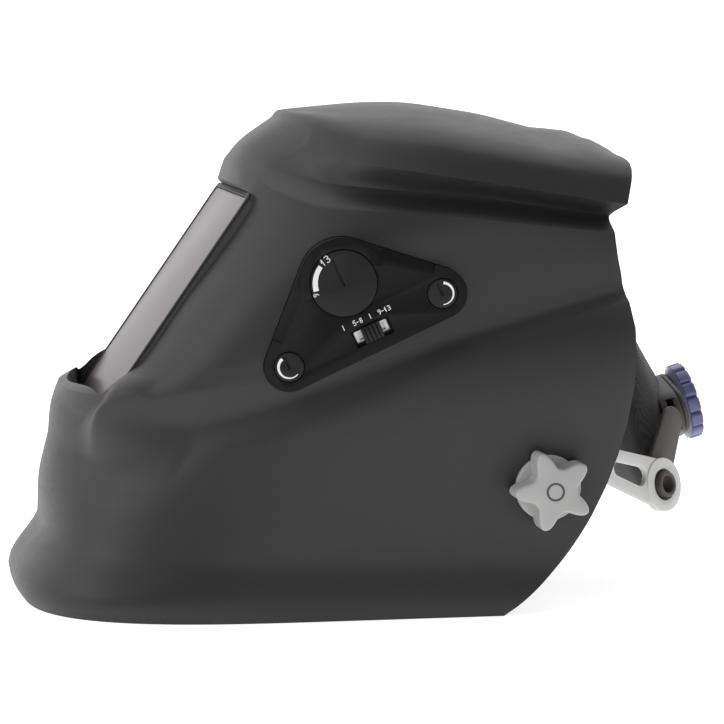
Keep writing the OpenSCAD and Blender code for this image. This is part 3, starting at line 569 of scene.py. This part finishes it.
def skinGrid():
    steps = shell["rowsBetween"]
    halfRows = (len(shell["rows"]) - 1) * steps
    columns = shell["columns"]
    bm = bmesh.new()
    bmesh.ops.create_grid(bm, x_segments=columns, y_segments=2 * halfRows, size=1.0)
    table = [columnPoints((c / columns) ** 1.15) for c in range(columns + 1)]
    for vert in bm.verts:
        column = round((vert.co.x + 1) / 2 * columns)
        row = round((vert.co.y + 1) / 2 * 2 * halfRows)
        point = table[column][row] if row <= halfRows else mirroredPoint(table[column][2 * halfRows - row])
        vert.co = point * mm
    toLens = lensPlace.inverted()
    outward = lensPlace.to_3x3() @ Vector((-1, 0, 0))
    for vert in bm.verts:
        spot = toLens @ vert.co
        away = math.hypot((abs(spot.y) / mm - cheekRise["y"]) / cheekRise["wide"],
                          (spot.z / mm - cheekRise["z"]) / cheekRise["high"])
        if away < 1 and abs(spot.x) < 0.04:
            missing = min(max(0.0, spot.x - cheekRise["proud"] * mm), cheekRise["most"] * mm)
            vert.co += outward * missing * (1 - away * away) ** 2
    bmesh.ops.remove_doubles(bm, verts=bm.verts, dist=0.02 * mm)
    bmesh.ops.recalc_face_normals(bm, faces=bm.faces)
    return bm


# The opening widens forwards: its foot rises to both sides, so the chin runs up beside the lens
recess = {"front": 34.0, "middleLift": 13.0, "sideLift": 42.0, "corner": 4.0, "lumpDepth": 24.0, "sill": 3.0}


def recessCutter():
    halfW = shell["frameW"] / 2 + shell["gap"]
    halfH = shell["frameH"] / 2 + shell["gap"]
    corner = recess["corner"]
    bm = bmesh.new()
    bmesh.ops.create_grid(bm, x_segments=36, y_segments=36, size=1.0)
    for vert in bm.verts:
        x, y = vert.co.x * halfW, vert.co.y * halfH
        heart = Vector((math.copysign(halfW - corner, x), math.copysign(halfH - corner, y)))
        off = Vector((x, y)) - heart
        if abs(x) > halfW - corner and abs(y) > halfH - corner and off.length > corner:
            x, y = heart + off.normalized() * corner
        vert.co = (x, y, 0.6)
    grown = bmesh.ops.extrude_face_region(bm, geom=bm.faces[:])
    for vert in [g for g in grown["geom"] if isinstance(g, bmesh.types.BMVert)]:
        low = max(0.0, -vert.co.y / halfH)
        side = min(1.0, abs(vert.co.x) / halfW)
        lift = recess["middleLift"] + recess["sideLift"] * side ** 2
        vert.co.y += lift * low
        vert.co.z = -recess["front"]
    bmesh.ops.scale(bm, verts=bm.verts, vec=(mm, mm, mm))
    bmesh.ops.transform(bm, matrix=acrossLens, verts=bm.verts)
    bmesh.ops.recalc_face_normals(bm, faces=bm.faces)
    return cutter("recessCut", bm)


# Solid round the lens, from which the walls of the recess are cut
def lensSurround():
    bm = skinGrid()
    inward = lensPlace.to_3x3() @ Vector((1, 0, 0))
    toLens = lensPlace.inverted()

    def outside(face):
        middle = toLens @ face.calc_center_median()
        return abs(middle.y) > 0.075 or abs(middle.z) > 0.084 or abs(middle.x) > 0.04

    bmesh.ops.delete(bm, geom=[f for f in bm.faces if outside(f)], context="FACES")
    grown = bmesh.ops.extrude_face_region(bm, geom=bm.faces[:])
    lifted = [g for g in grown["geom"] if isinstance(g, bmesh.types.BMVert)]
    bmesh.ops.translate(bm, verts=lifted, vec=inward * recess["lumpDepth"] * mm)
    bmesh.ops.recalc_face_normals(bm, faces=bm.faces)
    lump = cutter("lensSurround", bm)
    grow = 2 * recess["sill"]
    limit = cutter("surroundLimit", roundedBox(shell["frameW"] + grow, shell["frameH"] + grow, 6, -45, 5,
                                               acrossLens))
    cut = lump.modifiers.new("limit", "BOOLEAN")
    cut.operation = "INTERSECT"
    cut.object = limit
    cut.solver = "EXACT"
    applyModifiers(lump)
    bpy.data.objects.remove(limit)
    return lump


def makeShell():
    piece = finishPiece("shell_moulded", skinGrid(), "shell", "helmet_shell", ["shell"],
                        smooth=0)
    wall = piece.modifiers.new("wall", "SOLIDIFY")
    wall.thickness = shell["wall"] * mm
    wall.offset = -1
    wall.use_even_offset = False
    grow = 2 * shell["gap"]
    tools = [("UNION", lensSurround()), ("DIFFERENCE", recessCutter()),
             ("DIFFERENCE", cutter("lensCut", roundedBox(shell["frameW"] + grow, shell["frameH"] + grow, 4,
                                                         -shell["gap"], 30, acrossLens))),
             ("DIFFERENCE", cutter("panelCut", slabFrom(panelOutline(0.3), -34, 30, panelPlace)))]
    for operation, tool in tools:
        cut = piece.modifiers.new(tool.name, "BOOLEAN")
        cut.operation = operation
        cut.object = tool
        cut.solver = "EXACT"
    applyModifiers(piece)
    for operation, tool in tools:
        bpy.data.objects.remove(tool)
    piece.data.materials.clear()
    piece.data.materials.append(looks["shell"])
    piece.data.shade_smooth()
    piece.data.set_sharp_from_angle(angle=math.radians(28))
    return piece


shellPiece = makeShell()
print("shell", len(shellPiece.data.polygons), "faces")


# Plain parts: the moulded edge radius of each, in millimetres
roundedParts = {
    "frame": (("lens_frame", 0.4), ("cartridge_retainer", 0.4), ("retainer_latch", 0.5)),
    "cartridge": (("cartridge_front", 0.4), ("cartridge_back", 0.4), ("battery_tray_left", 0.4),
                  ("battery_tray_right", 0.4)),
    "panelSide": (("panel_base", 0.5), ("panel_back_cover", 0.5)),
    "dial": (("mode_slider", 0.25),),
    "nylon": (("tilt_arm_left", 0.5), ("tilt_arm_right", 0.5), ("washer_left", 0.5), ("washer_right", 0.5)),
    "strap": (("side_plate_left", 0.4), ("side_plate_right", 0.4), ("nape_strap_left", 0.6),
              ("nape_strap_right", 0.6)),
    "band": (("front_band", 0.6), ("crown_strap_front", 0.5), ("crown_strap_rear", 0.5)),
    "link": (("cradle_link_left", 0.6), ("cradle_link_right", 0.6)),
    "housing": (("ratchet_housing", 1.2), ("ratchet_cover", 0.8)),
}
for look, parts in roundedParts.items():
    for node, width in parts:
        rounded(node, look, width)
for node, look in (("inner_cover_lens", "innerLens"), ("filter_glass", "filter"),
                   ("solar_cell", "solar"), ("arc_sensors", "sensor"), ("coin_cell_left", "cell"),
                   ("coin_cell_right", "cell"), ("control_board", "board"), ("dial_sockets", "socket"),
                   ("slide_switch", "steel"), ("panel_screws", "steel"), ("control_cable", "cable"),
                   ("stud_left", "steel"), ("stud_right", "steel"), ("knob_nut_left", "steel"),
                   ("knob_nut_right", "steel"), ("crown_pins", "pin"), ("nape_pins", "pin"),
                   ("ratchet_pinion", "pinion"), ("ratchet_rivets", "steel")):
    dress(node, look)
print("plain parts done")


# Marks joined to a piece, with their own material
def addMarks(piece, parts, look, place):
    piece.data.materials.append(looks[look])
    index = len(piece.data.materials) - 1
    bm = bmesh.new()
    bm.from_mesh(piece.data)
    for part in parts:
        bmesh.ops.transform(part, matrix=place, verts=part.verts)
        bmesh.ops.recalc_face_normals(part, faces=part.faces)
        for face in part.faces:
            face.material_index = index
        marks = bpy.data.meshes.new("marks")
        part.to_mesh(marks)
        part.free()
        bm.from_mesh(marks)
        bpy.data.meshes.remove(marks)
    bm.to_mesh(piece.data)
    bm.free()


# Printed arc that tapers from one end to the other
def gaugeArc(centre, radius, wide, narrow, start, sweep, low, high):
    bm = bmesh.new()
    ends = [bm.verts.new((radius + k, 0, 0)) for k in (-0.5, 0.5)]
    bm.edges.new(ends)
    bmesh.ops.rotate(bm, verts=bm.verts, cent=(0, 0, 0), matrix=Matrix.Rotation(math.radians(start), 3, "Z"))
    bmesh.ops.spin(bm, geom=bm.verts[:] + bm.edges[:], cent=(0, 0, 0), axis=(0, 0, 1),
                   angle=math.radians(sweep), steps=28, use_merge=False)
    for vert in bm.verts:
        turn = math.degrees(math.atan2(vert.co.y, vert.co.x)) - start
        turn = (turn % 360 if sweep > 0 else -(-turn % 360)) / sweep
        share = 0.0 if turn > 1.2 else turn
        side = 1 if vert.co.length > radius else -1
        vert.co = vert.co.normalized() * (radius + side * (wide + (narrow - wide) * share) / 2)
    grown = bmesh.ops.extrude_face_region(bm, geom=bm.faces[:])
    lifted = [g for g in grown["geom"] if isinstance(g, bmesh.types.BMVert)]
    bmesh.ops.translate(bm, verts=lifted, vec=(0, 0, high - low))
    bmesh.ops.translate(bm, verts=bm.verts, vec=(centre[0], centre[1], low))
    bmesh.ops.scale(bm, verts=bm.verts, vec=(mm, mm, mm))
    return bm


strokes = {
    "1": ((0.0, 0.5), (0.2, 1.0), (0.2, 0.0)),
    "3": ((0.0, 0.9), (0.25, 1.0), (0.5, 0.85), (0.45, 0.6), (0.2, 0.52), (0.5, 0.4),
          (0.5, 0.12), (0.25, 0.0), (0.0, 0.1)),
    "5": ((0.5, 1.0), (0.05, 1.0), (0.0, 0.55), (0.3, 0.62), (0.5, 0.4), (0.45, 0.1),
          (0.2, 0.0), (0.0, 0.08)),
    "8": ((0.25, 0.52), (0.02, 0.7), (0.1, 0.95), (0.4, 0.95), (0.48, 0.7), (0.25, 0.52),
          (0.0, 0.3), (0.08, 0.04), (0.42, 0.04), (0.5, 0.3), (0.25, 0.52)),
    "9": ((0.5, 0.62), (0.3, 0.48), (0.05, 0.6), (0.05, 0.88), (0.3, 1.0), (0.5, 0.85),
          (0.45, 0.3), (0.2, 0.0)),
    "-": ((0.05, 0.45), (0.4, 0.45)),
    "|": ((0.2, 0.0), (0.2, 1.0)),
}


def figure(text, at, height, turn, low, width=0.36, step=0.72):
    parts = []
    for k, sign in enumerate(text):
        for a, b in zip(strokes[sign], strokes[sign][1:]):
            start = Vector((a[0] + (k - len(text) / 2) * step, a[1] - 0.5, 0)) * height
            end = Vector((b[0] + (k - len(text) / 2) * step, b[1] - 0.5, 0)) * height
            run = end - start
            bm = bmesh.new()
            bmesh.ops.create_cube(bm, size=1.0)
            bmesh.ops.scale(bm, verts=bm.verts, vec=(run.length + width * 0.8, width, 0.1))
            bmesh.ops.rotate(bm, verts=bm.verts, cent=(0, 0, 0),
                             matrix=Matrix.Rotation(math.atan2(run.y, run.x), 3, "Z"))
            bmesh.ops.translate(bm, verts=bm.verts, vec=(start + end) / 2)
            bmesh.ops.rotate(bm, verts=bm.verts, cent=(0, 0, 0),
                             matrix=Matrix.Rotation(math.radians(turn), 3, "Z"))
            bmesh.ops.translate(bm, verts=bm.verts, vec=(at[0], at[1], low + 0.05))
            bmesh.ops.scale(bm, verts=bm.verts, vec=(mm, mm, mm))
            parts.append(bm)
    return parts


# Flat chamfer along one straight side of the panel's face
def chamferCut(middle, outward, long, across, deep):
    normal = Vector((*outward, 0)).normalized()
    along = Vector((-normal.y, normal.x, 0))
    slope = (normal * across + Vector((0, 0, -deep))).normalized()
    up = along.cross(slope)
    if up.z < 0:
        up = -up
    bm = bmesh.new()
    bmesh.ops.create_cube(bm, size=1.0)
    bmesh.ops.scale(bm, verts=bm.verts, vec=(long, 16, 6))
    turn = Matrix((along, slope, up)).transposed().to_4x4()
    centre = Vector((*middle, 0)) - normal * across / 2 + Vector((0, 0, -deep / 2)) + up * 3
    bmesh.ops.transform(bm, matrix=Matrix.Translation(centre) @ turn, verts=bm.verts)
    bmesh.ops.scale(bm, verts=bm.verts, vec=(mm, mm, mm))
    bmesh.ops.transform(bm, matrix=panelPlace, verts=bm.verts)
    bmesh.ops.recalc_face_normals(bm, faces=bm.faces)
    return cutter("chamferCut", bm)


# Chamfers: middle, outward direction and length; marks beside the slider: text and place
panelFace = {
    "chamfers": (((-30.6, 13.2), (-0.701, 0.714), 26), ((35.5, 13.8), (0.667, 0.745), 27)),
    "chamferWide": 5.0, "chamferDeep": 2.1,
    "marks": (("|", -6.5), ("5-8", 0.8), ("|", 7.4), ("9-13", 14.6)), "markY": -4.6, "markHigh": 2.3,
}


def makePanelCover():
    bm = bmesh.new()
    bm.from_mesh(frame["nodes"]["panel_cover"].data)
    bmesh.ops.remove_doubles(bm, verts=bm.verts, dist=0.002 * mm)
    bmesh.ops.dissolve_limit(bm, angle_limit=math.radians(1.5), verts=bm.verts, edges=bm.edges)
    piece = finishPiece("panel_cover_moulded", bm, "panel", "helmet_shell", ["panel_cover"],
                        smooth=0)
    tools = [chamferCut(*place, panelFace["chamferWide"], panelFace["chamferDeep"])
             for place in panelFace["chamfers"]]
    for tool in tools:
        cut = piece.modifiers.new("chamfer", "BOOLEAN")
        cut.operation = "DIFFERENCE"
        cut.object = tool
        cut.solver = "EXACT"
    addBevel(piece, 0.35, 2, 25)
    applyModifiers(piece)
    for tool in tools:
        bpy.data.objects.remove(tool)
    piece.data.materials.clear()
    piece.data.materials.append(looks["panel"])
    piece.data.shade_smooth()
    piece.data.set_sharp_from_angle(angle=math.radians(30))
    parts = []
    for text, x in panelFace["marks"]:
        parts += figure(text, (x, panelFace["markY"]), panelFace["markHigh"], 0, 0)
    addMarks(piece, parts, "ink", panelPlace)


def markDial(piece, centre, arcs, texts, top):
    parts = [gaugeArc(centre, *arc, top, top + 0.1) for arc in arcs]
    for text, at, height, turn in texts:
        parts += figure(text, at, height, turn, top)
    addMarks(piece, parts, "ink", panelPlace)


# Star knob: five rounded points on a disc, with a soft edge all round
starKnob = {"base": 113.5, "discR": 16.0, "discH": 4.0, "top": 131.5, "points": 5, "inner": 11.3,
            "outer": 19.5, "turn": 39.0, "rim": 1.6}


def makeStarKnob(side, name, body):
    bm = bmesh.new()
    bmesh.ops.create_circle(bm, cap_ends=True, segments=160, radius=1.0)
    for vert in bm.verts:
        angle = math.atan2(vert.co.y, vert.co.x) - math.radians(starKnob["turn"])
        wave = 0.5 + 0.5 * math.cos(starKnob["points"] * angle)
        reach = starKnob["inner"] + (starKnob["outer"] - starKnob["inner"]) * wave ** 1.5
        vert.co = vert.co.normalized() * reach
    grown = bmesh.ops.extrude_face_region(bm, geom=bm.faces[:])
    lifted = [g for g in grown["geom"] if isinstance(g, bmesh.types.BMVert)]
    low = starKnob["base"] + starKnob["discH"] - 0.4
    bmesh.ops.translate(bm, verts=lifted, vec=(0, 0, starKnob["top"] - low))
    bmesh.ops.translate(bm, verts=bm.verts, vec=(0, 0, low))
    top = [f for f in bm.faces if f.calc_center_median().z > starKnob["top"] - 0.01]
    bmesh.ops.bevel(bm, geom=list({e for f in top for e in f.edges}), offset=starKnob["rim"], affect="EDGES",
                    segments=4, profile=0.5, material=-1)
    disc = bmesh.new()
    bmesh.ops.create_circle(disc, cap_ends=True, segments=96, radius=starKnob["discR"])
    grown = bmesh.ops.extrude_face_region(disc, geom=disc.faces[:])
    lifted = [g for g in grown["geom"] if isinstance(g, bmesh.types.BMVert)]
    bmesh.ops.translate(disc, verts=lifted, vec=(0, 0, starKnob["discH"]))
    bmesh.ops.translate(disc, verts=disc.verts, vec=(0, 0, starKnob["base"]))
    bmesh.ops.bevel(disc, geom=[e for e in disc.edges if e.calc_face_angle(0) > 1], offset=0.7,
                    affect="EDGES", segments=3, profile=0.5, material=-1)
    mesh = bpy.data.meshes.new("disc")
    disc.to_mesh(mesh)
    disc.free()
    bm.from_mesh(mesh)
    bpy.data.meshes.remove(mesh)
    bmesh.ops.scale(bm, verts=bm.verts, vec=(mm, mm, mm))
    bmesh.ops.transform(bm, matrix=pivotPlace(side), verts=bm.verts)
    bmesh.ops.recalc_face_normals(bm, faces=bm.faces)
    piece = finishPiece(name + "_moulded", bm, "knob", body, [name], smooth=40)
    ring = gaugeArc((0, 0), 4.0, 1.1, 1.1, 0, 359.5, starKnob["top"] - 0.05, starKnob["top"] + 0.08)
    addMarks(piece, [ring], "ringInk", pivotPlace(side))


# Size knob: a pale flange with a scalloped violet grip
sizeKnob = {"x": 98.34, "z": -2.0, "flangeR": 18.6, "flangeH": 2.6, "gripR": 20.0, "gripTop": 9.0, "lobes": 14,
            "valley": 1.7}


def makeSizeKnob():
    place = headPlace @ shifted((sizeKnob["x"], 0, sizeKnob["z"])) @ turnAbout("Y", 90)
    bm = bmesh.new()
    bmesh.ops.create_circle(bm, cap_ends=True, segments=196, radius=1.0)
    for vert in bm.verts:
        angle = math.atan2(vert.co.y, vert.co.x)
        valley = max(0.0, 1 - abs(math.sin(sizeKnob["lobes"] * angle / 2)) * 1.9)
        vert.co = vert.co.normalized() * (sizeKnob["gripR"] - sizeKnob["valley"] * valley)
    grown = bmesh.ops.extrude_face_region(bm, geom=bm.faces[:])
    lifted = [g for g in grown["geom"] if isinstance(g, bmesh.types.BMVert)]
    bmesh.ops.translate(bm, verts=lifted, vec=(0, 0, sizeKnob["gripTop"] - sizeKnob["flangeH"]))
    bmesh.ops.translate(bm, verts=bm.verts, vec=(0, 0, sizeKnob["flangeH"]))
    top = [f for f in bm.faces if f.calc_center_median().z > sizeKnob["gripTop"] - 0.01]
    bmesh.ops.bevel(bm, geom=list({e for f in top for e in f.edges}), offset=1.3, affect="EDGES", segments=4,
                    profile=0.5, material=-1)
    top = [f for f in bm.faces if f.calc_center_median().z > sizeKnob["gripTop"] - 0.01]
    for shrink, drop in ((0.74, 0.0), (0.95, -1.6)):
        grown = bmesh.ops.extrude_face_region(bm, geom=top)
        bmesh.ops.delete(bm, geom=[f for f in top if f.is_valid], context="FACES_ONLY")
        top = [g for g in grown["geom"] if isinstance(g, bmesh.types.BMFace)]
        rim = list({v for f in top for v in f.verts})
        bmesh.ops.scale(bm, verts=rim, vec=(shrink, shrink, 1))
        bmesh.ops.translate(bm, verts=rim, vec=(0, 0, drop))
    bmesh.ops.scale(bm, verts=bm.verts, vec=(mm, mm, mm))
    bmesh.ops.transform(bm, matrix=place, verts=bm.verts)
    bmesh.ops.recalc_face_normals(bm, faces=bm.faces)
    piece = finishPiece("ratchet_knob_moulded", bm, "blue", "size_knob", ["ratchet_knob"],
                        smooth=40)
    flange = bmesh.new()
    bmesh.ops.create_cone(flange, cap_ends=True, segments=96, radius1=sizeKnob["flangeR"] - 2.4,
                          radius2=sizeKnob["flangeR"] + 0.6, depth=sizeKnob["flangeH"])
    bmesh.ops.translate(flange, verts=flange.verts, vec=(0, 0, sizeKnob["flangeH"] / 2))
    bmesh.ops.bevel(flange, geom=[e for e in flange.edges if e.calc_face_angle(0) > 0.6], offset=0.4,
                    affect="EDGES", segments=2, profile=0.5, material=-1)
    bmesh.ops.scale(flange, verts=flange.verts, vec=(mm, mm, mm))
    addMarks(piece, [flange], "paleBlue", place)
    piece.data.set_sharp_from_angle(angle=math.radians(40))


# Padded pieces: filled out from their CAD form, blown up a little as cloth, then smoothed
pads = {
    "rear_pad": {"look": "padCloth", "voxel": 4.0, "cap": 3.5, "body": "cradle", "fill": 0.8,
                 "fuller": (1.35, 1.05, 1.3), "shift": (3.0, 0.0, 5.0)},
    "sweat_band": {"look": "sweatCloth", "voxel": 2.4, "cap": 1.2, "body": "headgear", "fill": 0.6},
}


def makePad(node):
    pad = pads[node]
    bm = bmesh.new()
    bm.from_mesh(frame["nodes"][node].data)
    bmesh.ops.remove_doubles(bm, verts=bm.verts, dist=0.002 * mm)
    if "fuller" in pad:
        middle = sum((v.co for v in bm.verts), Vector()) / len(bm.verts)
        for vert in bm.verts:
            grown = Vector(a * b for a, b in zip(vert.co - middle, pad["fuller"]))
            vert.co = middle + grown + Vector(pad["shift"]) * mm
    piece = finishPiece(node + "_padded", bm, pad["look"], pad["body"], [node], smooth=0)
    remesh = piece.modifiers.new("remesh", "REMESH")
    remesh.mode = "VOXEL"
    remesh.voxel_size = pad["voxel"] * mm
    applyModifiers(piece)
    start = [v.co.copy() for v in piece.data.vertices]
    cloth = piece.modifiers.new("cloth", "CLOTH")
    cloth.settings.use_pressure = True
    cloth.settings.uniform_pressure_force = 4
    cloth.settings.effector_weights.gravity = 0
    scene = bpy.context.scene
    for step in range(1, 21):
        scene.frame_set(step)
    applyModifiers(piece)
    scene.frame_set(1)
    cap = pad["cap"] * mm
    for vert, rest in zip(piece.data.vertices, start):
        move = vert.co - rest
        if move.length > cap:
            vert.co = rest + move.normalized() * cap
    smoothing = piece.modifiers.new("smooth", "SMOOTH")
    smoothing.factor = 0.5
    smoothing.iterations = 3
    rounds = piece.modifiers.new("rounds", "SUBSURF")
    rounds.levels = rounds.render_levels = 1
    applyModifiers(piece)
    piece.data.materials.clear()
    piece.data.materials.append(looks[pad["look"]])
    piece.data.shade_smooth()
    return piece


# Cover lens lying in a thin gasket, which stands level with its face
lensFront = {"lensW": 113.8, "lensH": 127.8, "lensCorner": 2.8, "lensSpan": (0.0, 2.9), "holeGap": 0.4,
             "holeCorner": 3.0, "gasketCorner": 4.0, "gasketSpan": (-0.4, 0.9), "cornerSteps": 12}


def frontPlate(width, height, corner, span):
    return roundedBox(width, height, corner, *span, acrossLens, lensFront["cornerSteps"])


def finishPlate(piece, bevelWidth, bevelSteps):
    addBevel(piece, bevelWidth, bevelSteps, 40)
    applyModifiers(piece)
    piece.data.shade_smooth()
    piece.data.set_sharp_from_angle(angle=math.radians(40))


def makeLensFront():
    plate = frontPlate(shell["frameW"], shell["frameH"], lensFront["gasketCorner"], lensFront["gasketSpan"])
    gasket = finishPiece("lens_gasket_moulded", plate, "gasket", "helmet_shell", ["lens_gasket"],
                         smooth=0)
    hole = cutter("gasketHole", frontPlate(lensFront["lensW"] + lensFront["holeGap"],
                                           lensFront["lensH"] + lensFront["holeGap"],
                                           lensFront["holeCorner"], (-3, 3)))
    cut = gasket.modifiers.new("hole", "BOOLEAN")
    cut.operation = "DIFFERENCE"
    cut.object = hole
    cut.solver = "EXACT"
    finishPlate(gasket, 0.3, 2)
    bpy.data.objects.remove(hole)
    plate = frontPlate(lensFront["lensW"], lensFront["lensH"], lensFront["lensCorner"], lensFront["lensSpan"])
    lens = finishPiece("outer_cover_lens_moulded", plate, "lens", "helmet_shell", ["outer_cover_lens"],
                       smooth=0)
    finishPlate(lens, 0.4, 3)


makeLensFront()
makePanelCover()
# Dials: edge radius, centre on the panel, gauge arcs, figures and the height of the face
dials = {
    "shade_knob": (0.5, (2, 15), [(13.6, 2.6, 2.2, 172, -52)],
                   [("13", (-1.4, 28.6), 3.4, 14), ("9", (-12.3, 15.4), 2.6, 80)], 1.2),
    "delay_knob": (0.35, (43, -9), [(5.2, 1.3, 0.4, 62, -172)], [], 0.8),
    "sensitivity_knob": (0.35, (-38, -11), [(5.2, 1.5, 0.4, 106, 190)], [], 0.8),
}
for node, (width, *marks) in dials.items():
    markDial(rounded(node, "dial", width), *marks)
for side, name, body in ((-1, "tension_knob_left", "knob_left"), (1, "tension_knob_right", "knob_right")):
    makeStarKnob(side, name, body)
makeSizeKnob()
for node in pads:
    makePad(node)
print("details done")


# Light, floor, backdrop and camera
studio = {
    "aim": (0.0, 0.0, 0.1129), "azimuth": -10.0, "elevation": 6.0, "distance": 1.6, "lens": 155.0,
    "backdrop": (0, 2.4, 19.9), "floorGlow": 0.8, "worldLight": 0.26,
    "lights": (("top", (-0.1, 0.2, 2.0), (0, 0, 0.1), (3.0, 2.6), 9),
               ("front", (-2.2, -0.7, 1.3), (0, 0, 0.12), (1.4, 1.4), 19),
               ("key", (0.3, -2.2, 0.9), (0, 0, 0.1), (1.0, 1.0), 3)),
}


def areaLight(name, place, aim, size, power):
    data = bpy.data.lights.new(name, "AREA")
    data.shape = "RECTANGLE"
    data.size, data.size_y = size
    data.energy = power
    lamp = bpy.data.objects.new(name, data)
    lamp.location = place
    lamp.rotation_euler = (Vector(aim) - Vector(place)).to_track_quat("-Z", "Y").to_euler()
    bpy.context.scene.collection.objects.link(lamp)


def stagePiece(name, bm, material):
    mesh = bpy.data.meshes.new(name)
    bm.to_mesh(mesh)
    bm.free()
    piece = bpy.data.objects.new(name, mesh)
    bpy.context.scene.collection.objects.link(piece)
    mesh.materials.append(material)


def makeFloor():
    bm = bmesh.new()
    bmesh.ops.create_grid(bm, x_segments=4, y_segments=4, size=40.0)
    material, tree, shader = startMaterial("paleFloor")
    speckle = addNode(tree, "ShaderNodeTexNoise", Scale=3.0)
    mix = addNode(tree, "ShaderNodeMix", data_type="RGBA")
    tree.links.new(speckle.outputs["Fac"], mix.inputs["Factor"])
    mix.inputs["A"].default_value = (0.86, 0.86, 0.86, 1)
    mix.inputs["B"].default_value = (0.88, 0.88, 0.88, 1)
    tree.links.new(mix.outputs["Result"], shader.inputs["Base Color"])
    tree.links.new(mix.outputs["Result"], shader.inputs["Emission Color"])
    shader.inputs["Emission Strength"].default_value = studio["floorGlow"]
    shader.inputs["Roughness"].default_value = 0.9
    stagePiece("floor", bm, material)


def makeBackdrop():
    bm = bmesh.new()
    bmesh.ops.create_grid(bm, x_segments=4, y_segments=4, size=20.0)
    bmesh.ops.rotate(bm, verts=bm.verts, cent=(0, 0, 0), matrix=Matrix.Rotation(math.radians(90), 3, "X"))
    bmesh.ops.translate(bm, verts=bm.verts, vec=studio["backdrop"])
    material, tree, shader = startMaterial("litPaper")
    shader.inputs["Base Color"].default_value = (0.5, 0.5, 0.5, 1)
    shader.inputs["Emission Color"].default_value = (1, 1, 1, 1)
    shader.inputs["Emission Strength"].default_value = 1.0
    stagePiece("backdrop", bm, material)


def makeCamera():
    data = bpy.data.cameras.new("camera")
    data.lens = studio["lens"]
    camera = bpy.data.objects.new("camera", data)
    az, el = math.radians(studio["azimuth"]), math.radians(studio["elevation"])
    aim = Vector(studio["aim"])
    away = Vector((math.sin(az) * math.cos(el), -math.cos(az) * math.cos(el), math.sin(el)))
    camera.location = aim + studio["distance"] * away
    camera.rotation_euler = (aim - camera.location).to_track_quat("-Z", "Y").to_euler()
    bpy.context.scene.collection.objects.link(camera)
    bpy.context.scene.camera = camera


def makeStudio():
    makeFloor()
    makeBackdrop()
    world = bpy.data.worlds.new("studio")
    world.use_nodes = True
    background = world.node_tree.nodes["Background"]
    background.inputs["Color"].default_value = (1, 1, 1, 1)
    background.inputs["Strength"].default_value = studio["worldLight"]
    bpy.context.scene.world = world
    for light in studio["lights"]:
        areaLight(*light)
    makeCamera()
    bpy.context.scene.view_settings.view_transform = "Standard"


makeStudio()
print("studio done")
